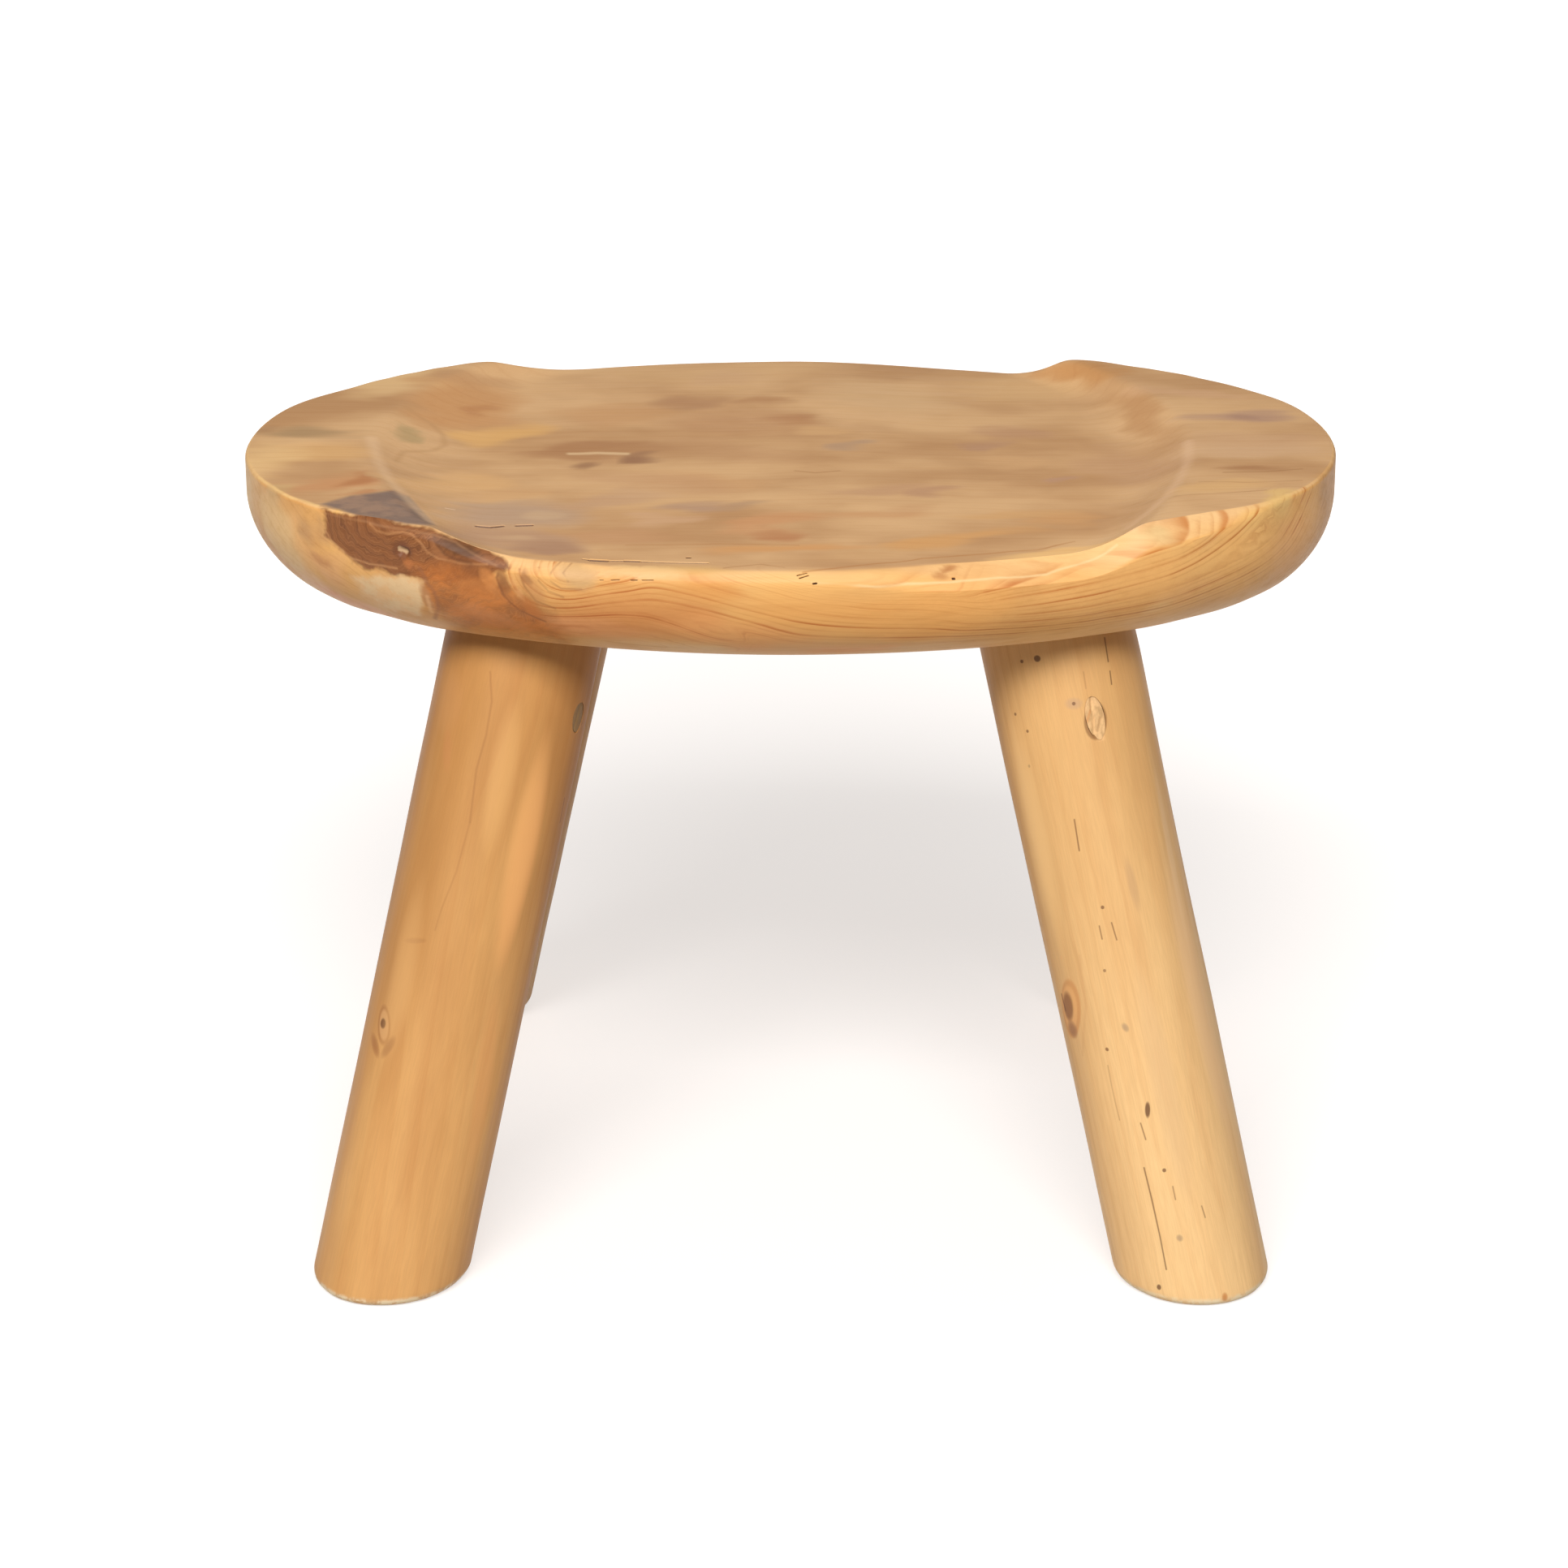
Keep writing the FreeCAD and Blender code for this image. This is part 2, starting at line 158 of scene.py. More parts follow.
def set_light():
    """Soft studio light: a lamp in front, a weaker low one behind the stool and a pale room."""
    for name, at, size, power in (
        ("lamp_front", (-0.25, -1.8, 2.08), 2.2, 78),
        ("lamp_back", (0.2, 2.7, 0.9), 1.6, 16),
    ):
        data = bpy.data.lights.new(name, "AREA")
        data.shape = "RECTANGLE"
        data.size = size
        data.size_y = min(size, 0.8)
        data.energy = power
        lamp = bpy.data.objects.new(name, data)
        lamp.location = at
        aim = Vector((0, 0, 0.15)) - lamp.location
        lamp.rotation_euler = aim.to_track_quat("-Z", "Y").to_euler()
        lamp.visible_glossy = name == "lamp_front"
        bpy.context.scene.collection.objects.link(lamp)
    world = bpy.data.worlds.new("room")
    bpy.context.scene.world = world
    world.use_nodes = True
    tree = world.node_tree
    back = tree.nodes["Background"]
    rays = tree.nodes.new("ShaderNodeLightPath")
    strength = tree.nodes.new("ShaderNodeMapRange")
    strength.inputs["To Min"].default_value = 0.14
    strength.inputs["To Max"].default_value = 1
    tree.links.new(rays.outputs["Is Camera Ray"], strength.inputs["Value"])
    tree.links.new(strength.outputs["Result"], back.inputs["Strength"])
    back.inputs["Color"].default_value = (1, 1, 1, 1)


class Graph:
    """The nodes of one material or node group, with short ways to add them."""

    def __init__(self, tree):
        self.tree = tree

    def feed(self, socket, source):
        """Link an output to a socket, or set the socket to a plain value."""
        if isinstance(source, bpy.types.NodeSocket):
            self.tree.links.new(source, socket)
        else:
            socket.default_value = source

    def add(self, kind, sources=(), **settings):
        """A new node with its settings, whose inputs are fed in turn or by name."""
        node = self.tree.nodes.new(kind)
        for name, setting in settings.items():
            setattr(node, name, setting)
        pairs = sources.items() if isinstance(sources, dict) else enumerate(sources)
        for key, source in pairs:
            self.feed(node.inputs[key], source)
        return node

    def math(self, operation, *values, clamp=False):
        """A sum on numbers."""
        return self.add("ShaderNodeMath", values, operation=operation, use_clamp=clamp).outputs[0]

    def times(self, first, second):
        """Two numbers multiplied."""
        return self.math("MULTIPLY", first, second)

    def vector(self, operation, *values):
        """A sum on places, whose answer is a place or, for a length or dot product, a number."""
        node = self.add("ShaderNodeVectorMath", values, operation=operation)
        return node.outputs["Value" if operation in ("LENGTH", "DOT_PRODUCT") else "Vector"]

    def scaled(self, place, amount):
        """A place made larger by one number."""
        sources = {0: place, "Scale": amount}
        return self.add("ShaderNodeVectorMath", sources, operation="SCALE").outputs["Vector"]

    def step(self, value, start, end, low=0, high=1):
        """A soft step from low to high as a value goes from start to end."""
        sources = {"Value": value, "From Min": start, "From Max": end, "To Min": low,
                   "To Max": high}
        node = self.add("ShaderNodeMapRange", sources, interpolation_type="SMOOTHSTEP")
        return node.outputs["Result"]

    def speckle(self, place, rates, detail=2, roughness=0.5):
        """Smooth noise, from 0 to 1 and as a colour, with its own rate along each direction."""
        node = self.add("ShaderNodeTexNoise", {"Vector": self.vector("MULTIPLY", place, rates),
                                               "Scale": 1, "Detail": detail,
                                               "Roughness": roughness})
        return node.outputs

    def cloud(self, place, rate):
        """Soft cloudiness at a place, from 0 to 1."""
        return self.speckle(place, (rate, rate, rate), 3, 0.6)[0]

    def shake(self, place, rates, detail, roughness):
        """A small shift at a place, by up to half a unit each way."""
        colour = self.speckle(place, rates, detail, roughness)["Color"]
        return self.vector("SUBTRACT", colour, (0.5, 0.5, 0.5))

    def mix(self, share, first, second, way="MIX"):
        """A colour between two colours."""
        sources = {"Factor": share, 6: first, 7: second}
        return self.add("ShaderNodeMix", sources, data_type="RGBA", blend_type=way).outputs[2]

    def cover(self, mask, share, colour, shade):
        """A colour with some share of a shade laid over it inside a mask."""
        return self.mix(self.times(mask, share), colour, shade)

    def tint(self, share, colour, *shade):
        """A colour multiplied by a shade to some share."""
        return self.mix(share, colour, self.mix(1, colour, tone(*shade), "MULTIPLY"))

    def parts(self, place):
        """The three numbers of a place."""
        return self.add("ShaderNodeSeparateXYZ", [place]).outputs

    def stored(self, name):
        """What was worked out on the mesh under a name."""
        return self.add("ShaderNodeAttribute", attribute_name=name).outputs

    def place_in_mm(self):
        """Where on the stool a point lies, in millimetres."""
        return self.scaled(self.add("ShaderNodeTexCoord").outputs["Object"], 1 / MM)

    def relief(self, shader, height, strength, depth):
        """Join a fine relief of some depth in millimetres to a shader."""
        bump = self.add("ShaderNodeBump", {"Strength": strength, "Distance": depth * MM,
                                           "Height": height})
        self.feed(shader["Normal"], bump.outputs["Normal"])

    def group(self, tree, **values):
        """A placed node group, with its values by name. Its outputs are read by name."""
        sources = {name.replace("_", " "): source for name, source in values.items()}
        return self.add("ShaderNodeGroup", sources, node_tree=tree).outputs


def tone(red, green, blue):
    """A colour as a screen shows it, from 0 to 255, made ready for a shader."""
    def straight(part):
        part = part / 255
        return part / 12.92 if part <= 0.04045 else ((part + 0.055) / 1.055) ** 2.4
    return (straight(red), straight(green), straight(blue), 1)


def new_group(name, inputs, outputs):
    """An empty node group and the graph inside it."""
    tree = bpy.data.node_groups.new(name, "ShaderNodeTree")
    kinds = {"value": "NodeSocketFloat", "place": "NodeSocketVector", "colour": "NodeSocketColor"}
    for title, kind in inputs:
        tree.interface.new_socket(title, in_out="INPUT", socket_type=kinds[kind])
    for title, kind in outputs:
        tree.interface.new_socket(title, in_out="OUTPUT", socket_type=kinds[kind])
    graph = Graph(tree)
    return graph, graph.add("NodeGroupInput").outputs, graph.add("NodeGroupOutput").inputs


def make_blot_group():
    """A soft spot, longer along one direction: Pull and Tightness hold its shape."""
    graph, given, out = new_group("blot", [
        ("Place", "place"), ("Centre", "place"), ("Pull", "place"), ("Tightness", "value"),
        ("Core", "value"), ("Strength", "value"),
    ], [("Mask", "value")])
    away = graph.vector("SUBTRACT", given["Place"], given["Centre"])
    square = graph.vector("DOT_PRODUCT", away, away)
    along = graph.vector("DOT_PRODUCT", away, given["Pull"])
    reach = graph.times(square, given["Tightness"])
    reach = graph.math("SUBTRACT", reach, graph.times(along, along))
    graph.feed(out["Mask"], graph.step(reach, 1, given["Core"], 0, given["Strength"]))
    return graph.tree


def make_stroke_group():
    """A thin line from one point to another, with soft sides."""
    graph, given, out = new_group("stroke", [
        ("Place", "place"), ("Start", "place"), ("Run", "place"), ("Rate", "place"),
        ("Half width", "value"), ("Strength", "value"),
    ], [("Mask", "value")])
    away = graph.vector("SUBTRACT", given["Place"], given["Start"])
    share = graph.vector("DOT_PRODUCT", away, given["Rate"])
    share = graph.math("MINIMUM", graph.math("MAXIMUM", share, 0), 1)
    rest = graph.vector("SUBTRACT", away, graph.scaled(given["Run"], share))
    aside = graph.vector("LENGTH", rest)
    graph.feed(out["Mask"], graph.step(aside, given["Half width"], 0, 0, given["Strength"]))
    return graph.tree


def make_ring_group():
    """Dark thin late wood on one side of each ring, fading over the rest of the ring."""
    graph, given, out = new_group("rings", [
        ("Count", "value"), ("Place", "place"), ("Line share", "value"),
    ], [("Line", "value"), ("Fade", "value")])
    part = graph.math("FRACT", given["Count"])
    rise = graph.step(part, graph.math("SUBTRACT", 1, given["Line share"]), 1)
    fall = graph.step(part, 0.06, 0)
    uneven = graph.speckle(given["Place"], (0.02, 0.09, 0.09))[0]
    depth = graph.step(uneven, 0.35, 0.62, 0.35, 1)
    graph.feed(out["Line"], graph.times(graph.math("MAXIMUM", rise, fall), depth))
    graph.feed(out["Fade"], part)
    return graph.tree


def make_fibre_group():
    """Fine streaks along the first direction of a place."""
    graph, given, out = new_group("fibre", [("Place", "place")],
                                  [("Streak", "value"), ("Fine", "value")])
    for name, rates, detail in (("Streak", (0.012, 0.35, 0.35), 3),
                                ("Fine", (0.09, 2.2, 2.2), 2)):
        graph.feed(out[name], graph.speckle(given["Place"], rates, detail, 0.6)[0])
    return graph.tree


BLOT = make_blot_group()
STROKE = make_stroke_group()
RINGS = make_ring_group()
FIBRE = make_fibre_group()


class Ground:
    """Turns pixels of the photograph's frame into places on one piece."""

    def __init__(self, mesh):
        self.tree = BVHTree.FromBMesh(mesh)
        self.turn = camera.matrix_world.to_3x3()

    def hit(self, pixel):
        """The place and the outward direction that the camera sees at a pixel."""
        middle = FRAME_PIXELS / 2
        across, down = pixel[0] - middle, pixel[1] - middle
        aim = self.turn @ Vector((across / LENS_PIXELS, -down / LENS_PIXELS, -1))
        place, normal, *_ = self.tree.ray_cast(CAMERA_AT, aim.normalized())
        if place is None:
            place, normal, *_ = self.tree.find_nearest(CAMERA_AT + aim * STOOL_DISTANCE)
        return place, normal

    def at(self, pixel):
        """The place on the piece, in millimetres, that the camera sees at a pixel."""
        return self.hit(pixel)[0]

    def wood(self, shade, pixel):
        """The wood's own colour where the photograph shows a shade, without its light."""
        normal = self.hit(pixel)[1]
        light = (max(normal.dot(LIGHT_FROM), 0) + LIGHT_AROUND
                 + LIGHT_FROM_BELOW * (1 - normal.z))
        seen = [part / light for part in tone(*shade)[:3]]
        return (*(part * min(BRIGHTEST_WOOD / max(seen), 1) for part in seen), 1)

    def spot(self, start, end, half_width, shade):
        """Centre, direction, half length and wood tone of a soft spot along two pixels."""
        first, last = self.at(start), self.at(end)
        half_length = max((last - first).length / 2 + half_width * 0.6, half_width)
        middle = ((start[0] + end[0]) / 2, (start[1] + end[1]) / 2)
        return ((first + last) / 2, (last - first).normalized(), half_length,
                self.wood(shade, middle))


def lay_over(graph, colour, marks):
    """Lay marks over a colour, each a mask and a tone, made one after the other."""
    paint, bare = (0, 0, 0, 1), (1, 1, 1, 1)
    for mask, shade in marks:
        paint = graph.mix(mask, paint, shade)
        bare = graph.mix(mask, bare, (0, 0, 0, 1))
    return graph.mix(1, graph.mix(1, colour, bare, "MULTIPLY"), paint, "ADD")


def lay_stain_and_shade(graph, colour):
    """Lay the stains and painted shade worked out on the mesh over a colour."""
    stains = graph.stored("stain_and_shade")
    bare = graph.mix(stains["Alpha"], colour, (0, 0, 0, 1))
    return graph.mix(1, bare, stains["Color"], "ADD")


def read_spots(spots):
    """Rows of a table of spots as (start, end, half width, depth, shade, core)."""
    for row in spots:
        core = row[9] if len(row) > 9 else 0
        yield row[:2], row[2:4], row[4], row[5], row[6:9], core


def blot_marks(graph, place, ground, blots):
    """Soft spots as masks and tones, from the rows of a table."""
    for start, end, half_width, depth, shade, core in read_spots(blots):
        centre, along, half_length, wood = ground.spot(start, end, half_width, shade)
        tight = 1 / half_width ** 2
        pull = along * math.sqrt(max(tight - 1 / half_length ** 2, 0))
        yield graph.group(BLOT, Place=place, Centre=centre, Pull=pull, Tightness=tight,
                          Core=core, Strength=depth)["Mask"], wood


def stroke_marks(graph, place, ground, strokes):
    """Runs of thin lines, each from a (pixels, half width, depth, shade)."""
    for pixels, half_width, depth, shade in strokes:
        points = [ground.at(pixel) for pixel in pixels]
        mask = None
        for start, end in zip(points, points[1:]):
            run = end - start
            rate = run / max(run.length_squared, 1e-6)
            part = graph.group(STROKE, Place=place, Start=start, Run=run, Rate=rate,
                               Half_width=half_width, Strength=depth)["Mask"]
            mask = part if mask is None else graph.math("MAXIMUM", mask, part)
        yield mask, ground.wood(shade, pixels[len(pixels) // 2])


def add_blots(graph, colour, place, ground, blots):
    """Lay soft spots over a colour."""
    return lay_over(graph, colour, blot_marks(graph, place, ground, blots))


def add_strokes(graph, colour, place, ground, strokes):
    """Draw thin lines over a colour."""
    return lay_over(graph, colour, stroke_marks(graph, place, ground, strokes))


def corner_tree(mesh, moved=Vector):
    """A search tree of a mesh's corners, each at the place that it is moved to."""
    mesh.verts.index_update()
    tree = KDTree(len(mesh.verts))
    for vert in mesh.verts:
        tree.insert(moved(vert.co), vert.index)
    tree.balance()
    return tree


def drifted(place):
    """A place shaken along the grain, so that a stain's edge is uneven."""
    wide = noise.noise_vector(Vector((place.x * 0.018, place.y * 0.05, place.z * 0.05)))
    close = noise.noise_vector(Vector((place.x * 0.06, place.y * 0.16, place.z * 0.16)))
    drift = wide + close * 0.45
    return place + Vector((drift.x * 16, drift.y * 8, drift.z * 5))


def stain_and_shade(mesh, ground, spots):
    """Work out soft stains and painted shade for every corner of a mesh: their tone and how much
    they cover.
    """
    corners = corner_tree(mesh, drifted)
    paint = [Vector((0, 0, 0, 0)) for _ in mesh.verts]
    for start, end, half_width, depth, shade, core in read_spots(spots):
        half_width *= STAIN_SPREAD
        depth = min(depth * STAIN_DEPTH, 1)
        centre, along, half_length, wood = ground.spot(start, end, half_width, shade)
        wood = Vector(wood)
        for at, index, _ in corners.find_range(centre, half_length):
            away = at - centre
            ahead = away.dot(along)
            aside = away.length_squared - ahead ** 2
            reach = aside / half_width ** 2 + (ahead / half_length) ** 2
            mask = depth * ease(reach, 1, core)
            paint[index] = paint[index] * (1 - mask) + wood * mask
    layer = mesh.verts.layers.float_color.new("stain_and_shade")
    for vert in mesh.verts:
        vert[layer] = paint[vert.index]


def lead_grain(mesh, ground, lines):
    """Work out how far the growth lines must shift to run along some lines of the photograph.

    The second number tells how near such a line is, the third how far a face looks outward.
    """
    mesh.verts.index_update()
    mesh.normal_update()
    posts = []
    for pixels, level in lines:
        points = [ground.at(pixel) for pixel in pixels]
        for start, end in zip(points, points[1:]):
            steps = max(round((end - start).length / GUIDE_STEP), 1)
            for step in range(steps):
                post = start.lerp(end, step / steps)
                posts.append((post, level - post.dot(GRAIN_RATE)))
    guides = KDTree(len(posts))
    for index, (post, _) in enumerate(posts):
        guides.insert(post, index)
    guides.balance()
    layer = mesh.verts.layers.float_vector.new("grain")
    for vert in mesh.verts:
        whole, drawn, near = 0.02, 0, 0
        for _, index, distance in guides.find_range(vert.co, GRAIN_REACH * 3):
            pull = math.exp(-(distance / GRAIN_REACH) ** 2)
            whole += pull
            drawn += pull * posts[index][1]
            near = max(near, pull)
        outward = Vector((vert.co.x / HALF_WIDTH ** 2, vert.co.y / HALF_DEPTH ** 2, 0))
        vert[layer] = (drawn / whole, near, vert.normal.dot(outward.normalized()))


def panel_mask(graph, place, ground, pixels, softness):
    """A mask inside a convex outline of pixels."""
    points = [ground.at(pixel) for pixel in pixels]
    middle = sum(points, Vector()) / len(points)
    mask = None
    for start, end in zip(points, points[1:] + points[:1]):
        sight = ((start + end) / 2 - CAMERA_AT).normalized()
        inward = (end - start).cross(sight).normalized()
        if inward.dot(middle - start) < 0:
            inward = -inward
        depth = graph.vector("DOT_PRODUCT", place, inward)
        edge = start.dot(inward)
        part = graph.step(depth, edge - softness, edge + softness)
        mask = part if mask is None else graph.math("MINIMUM", mask, part)
    return mask


def new_finish(name):
    """A material, its graph and its shader."""
    finish = bpy.data.materials.new(name)
    finish.use_nodes = True
    graph = Graph(finish.node_tree)
    return finish, graph, finish.node_tree.nodes["Principled BSDF"].inputs


# Shaping

def finish_piece(mesh, name, finish, node):
    """A piece from a shaped mesh in millimetres, in place of a CAD node."""
    bmesh.ops.scale(mesh, vec=(MM, MM, MM), verts=mesh.verts)
    data = bpy.data.meshes.new(name)
    mesh.to_mesh(data)
    data.shade_smooth()
    data.set_sharp_from_angle(angle=SHARP_ANGLE)
    data.materials.append(finish)
    piece = bpy.data.objects.new(name, data)
    bpy.context.scene.collection.objects.link(piece)
    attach(piece, "root")
    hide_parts(node)


def cut_out(mesh, cutters):
    """Take the room of some cutting shapes out of a mesh."""
    scene = bpy.context.scene.collection.objects
    block = bpy.data.objects.new("block", bpy.data.meshes.new("block"))
    mesh.to_mesh(block.data)
    scene.link(block)
    tools = []
    for cutter in cutters:
        tool = bpy.data.objects.new("cutter", bpy.data.meshes.new("cutter"))
        cutter.to_mesh(tool.data)
        scene.link(tool)
        tools.append(tool)
        cut = block.modifiers.new("cut", "BOOLEAN")
        cut.operation = "DIFFERENCE"
        cut.solver = "EXACT"
        cut.object = tool
    bpy.context.view_layer.update()
    cut_mesh = bpy.data.meshes.new_from_object(
        block.evaluated_get(bpy.context.evaluated_depsgraph_get()))
    mesh.clear()
    mesh.from_mesh(cut_mesh)
    for item in [block, *tools]:
        bpy.data.objects.remove(item)


def turned_shape(profile, steps, where=Matrix.Identity(4)):
    """A solid spun from half its section, (radius, height) points from axis to axis."""
    mesh = bmesh.new()
    points = [mesh.verts.new((radius, 0, height)) for radius, height in profile]
    lines = [mesh.edges.new(pair) for pair in zip(points, points[1:])]
    bmesh.ops.spin(mesh, geom=points + lines, cent=(0, 0, 0), axis=(0, 0, 1),
                   angle=2 * math.pi, steps=steps, use_merge=True)
    bmesh.ops.remove_doubles(mesh, verts=mesh.verts, dist=1e-3)
    bmesh.ops.recalc_face_normals(mesh, faces=mesh.faces)
    bmesh.ops.transform(mesh, matrix=where, verts=mesh.verts)
    return mesh


def nearest_on_run(place, points):
    """Distance from a place to a run of straight lines."""
    least = 1e9
    for start, end in zip(points, points[1:]):
        run = end - start
        share = min(max((place - start).dot(run) / max(run.length_squared, 1e-9), 0), 1)
        least = min(least, (place - start - run * share).length)
    return least


def carve(mesh, ground, marks):
    """Press cracks into finely divided faces, each a (pixels, half width, depth, darkness)."""
    runs = [([ground.at(pixel) for pixel in pixels], half_width, depth, dark)
            for pixels, half_width, depth, dark in marks]
    for reach in (4.5, 2):
        corners = corner_tree(mesh)
        near = set()
        for points, half_width, _, _ in runs:
            for start, end in zip(points, points[1:]):
                steps = max(math.ceil((end - start).length / 1.5), 1)
                for step in range(steps + 1):
                    middle = start.lerp(end, step / steps)
                    near.update(index for _, index, _ in
                                corners.find_range(middle, reach + half_width))
        edges = [edge for edge in mesh.edges
                 if edge.verts[0].index in near and edge.verts[1].index in near]
        bmesh.ops.subdivide_edges(mesh, edges=edges, cuts=2, use_grid_fill=True)
    corners = corner_tree(mesh)
    mesh.verts.ensure_lookup_table()
    mesh.normal_update()
    layer = mesh.verts.layers.float.new("crack")
    sunk = {}
    for points, half_width, depth, dark in runs:
        for start, end in zip(points, points[1:]):
            middle, half_length = (start + end) / 2, (end - start).length / 2
            for at, index, _ in corners.find_range(middle, half_length + half_width):
                aside = nearest_on_run(at, points) / half_width
                if aside < 1:
                    share = (1 - aside ** 2) ** 2
                    if share * depth > sunk.get(index, (0, 0))[0]:
                        sunk[index] = (share * depth, share * dark)
    for index, (deep, dark) in sunk.items():
        vert = mesh.verts[index]
        vert.co -= vert.normal * deep
        vert[layer] = dark


def ease(value, start, end):
    """A soft step from 0 to 1 as a value goes from start to end."""
    share = min(max((value - start) / (end - start), 0), 1)
    return share * share * (3 - 2 * share)


# Seat

def between(points, value):
    """The amount at a value, from a table of (value, amount) points joined softly."""
    for (start, low), (end, high) in zip(points, points[1:]):
        if value < end:
            return low + (high - low) * ease(value, start, end)
    return points[-1][1]


def rim_point(across, along):
    """The point of the seat's outline in a direction, and the outward direction there."""
    angle = math.atan2(HALF_DEPTH * along, HALF_WIDTH * across)
    aim = Vector((math.cos(angle), math.sin(angle)))
    away = math.hypot(SIDE_CENTRE, END_CENTRE)
    corner = math.atan2(END_RADIUS * SIDE_CENTRE / away,
                        END_CENTRE + END_RADIUS * END_CENTRE / away)
    if math.atan2(abs(aim.y), abs(aim.x)) < corner:
        centre = Vector((math.copysign(END_CENTRE, aim.x), 0))
        radius = END_RADIUS
    else:
        centre = Vector((0, -math.copysign(SIDE_CENTRE, aim.y)))
        radius = SIDE_RADIUS
    shadow = centre.dot(aim)
    reach = shadow + math.sqrt(radius ** 2 - centre.length_squared + shadow ** 2)
    point = aim * reach
    normal = (point - centre).normalized()
    front = between(FRONT_OUTLINE, point.x)
    rear = between(REAR_OUTLINE, point.x)
    extra = front + (rear - front) * ease(point.y, -20, 20)
    return point + normal * extra, normal


def wall_drop(inside, run):
    """How deep the dish is at a distance inside its brim, from 0 to 1 at the wall's foot."""
    soft = (inside + math.hypot(inside, 2.2)) / 2
    share = min(soft / run, 1)
    return 1 - (1 - share) ** 2


def seat_height(x, y):
    """Height of the seat's upper side over a point of its plan."""
    # The dish's brim is an arc at each end, with a shorter wall towards the corners
    rear_corner, front_corner = ease(y, 50, 116), ease(-y, 50, 112)
    right = 181 - 1.4 * rear_corner + 3.4 * front_corner - math.hypot(x + 14.5, y)
    left = 181 + 0.2 * rear_corner + 0.5 * front_corner - math.hypot(x - 7.5, y)
    right_run = 30 - 15 * rear_corner - 12 * front_corner
    left_run = 44 - 21 * (rear_corner + front_corner)
    # The bottom rises a little in the middle and at the rear left
    crown = (0.9 + 1.9 * ease(y, 20, 130)) * math.exp(-(x / 62) ** 2)
    shallow = 1.7 * ease(-x, 10, 80) * ease(y, 30, 120)
    ripple = 0.2 * noise.noise(Vector((x / 60, y / 45, 3)))
    return (SEAT_TOP - 0.3 + ripple
            - (DISH_DEPTH - crown - shallow) * wall_drop(right, right_run)
            * wall_drop(left, left_run))


def rim_round(point):
    """Radius of the rim's rounding: crisp at the ends, broad where the dish runs out."""
    x = point.x
    rear = 2.2 + 2 * ease(-abs(x), -135, -100)
    if x > 0:
        front = 2.2 + 6.4 * ease(-x, -204, -150) - 2.6 * ease(-x, -70, 0)
    else:
        front = 2 + 2.4 * ease(x, -182, -156) + 1.6 * ease(x, -136, -60)
    return front + (rear - front) * ease(point.y, -20, 20)


def rim_flatness(point):
    """How far the rim's rounding turns into a flat chamfer."""
    if point.y > 0:
        return 0
    right = 0.92 * ease(point.x, 25, 75) * ease(-point.x, -204, -165)
    left = 0.6 * ease(point.x, -178, -156) * ease(-point.x, 60, 100)
    return max(right, left)


def shape_seat():
    """The seat: a finely divided block whose points move to the oval slab's surface."""
    mesh = bmesh.new()
    bmesh.ops.create_cube(mesh, size=2)
    for axis, cuts in enumerate(SEAT_CUTS):
        lines = [edge for edge in mesh.edges
                 if abs((edge.verts[1].co - edge.verts[0].co)[axis]) > 1.9]
        bmesh.ops.subdivide_edges(mesh, edges=lines, cuts=cuts - 1, use_grid_fill=True)
    for vert in mesh.verts:
        a, b, c = vert.co
        across = a * math.sqrt(1 - b * b / 2)
        along = b * math.sqrt(1 - a * a / 2)
        out = math.hypot(across, along)
        if out < 1e-6:
            across = 1e-6
        point, normal = rim_point(across, along)
        radius = rim_round(point)
        brow = point - normal * radius
        brow_height = seat_height(*brow)
        if c > 1 - 1e-6:
            plan = brow * out
            vert.co = (*plan, seat_height(*plan))
        elif c < -1 + 1e-6:
            plan = (point - normal * UNDERSIDE_RADIUS) * out
            vert.co = (*plan, FLOOR_TO_SEAT)
        elif max(abs(a), abs(b)) > 1 - 1e-6:
            down = (1 - c) / 2
            belly = min(UNDERSIDE_RADIUS, brow_height - radius - FLOOR_TO_SEAT)
            belly_top = FLOOR_TO_SEAT + belly
            if down < RIM_ROWS:
                share = down / RIM_ROWS
                turn = share * math.pi / 2
                flat = rim_flatness(point)
                inset = radius * ((1 - flat) * (1 - math.sin(turn)) + flat * (1 - share))
                drop = radius * ((1 - flat) * (1 - math.cos(turn)) + flat * share)
                height = brow_height - drop
            elif down < WALL_ROWS:
                share = (down - RIM_ROWS) / (WALL_ROWS - RIM_ROWS)
                inset = 0
                height = (brow_height - radius) * (1 - share) + belly_top * share
            else:
                turn = (down - WALL_ROWS) / (1 - WALL_ROWS) * math.pi / 2
                power = 2 / (UNDERSIDE_FULLNESS - 0.22 * ease(-point.x, 140, 215))
                inset = UNDERSIDE_RADIUS * (1 - math.cos(turn) ** power)
                height = belly_top - belly * math.sin(turn) ** power
            plan = point - normal * inset
            vert.co = (*plan, height)
    bmesh.ops.recalc_face_normals(mesh, faces=mesh.faces)
    return mesh


# Legs

class LegPlace:
    """Where a leg and its bore stand."""

    def __init__(self, name):
        foot, top, turn, slant, drop = LEGS[name]
        self.taper = LEG_TAPER[name]
        foot, top = Vector((*foot, 0)), Vector((*top, FLOOR_TO_SEAT))
        run = top - foot
        self.tilt = math.atan2(math.hypot(run.x, run.y), run.z)
        self.length = run.length
        heading = math.atan2(run.y, run.x)
        self.where = (Matrix.Translation(foot) @ Matrix.Rotation(heading, 4, "Z")
                      @ Matrix.Rotation(self.tilt, 4, "Y"))
        self.bore = (self.where @ Matrix.Rotation(math.radians(turn), 4, "Z")
                     @ Matrix.Translation((LEG_RADIUS, 0, self.length - drop))
                     @ Matrix.Rotation(-math.radians(slant), 4, "Y"))
        self.shoulder = (FLOOR_TO_SEAT + SOCKET_SINK) / math.cos(self.tilt)


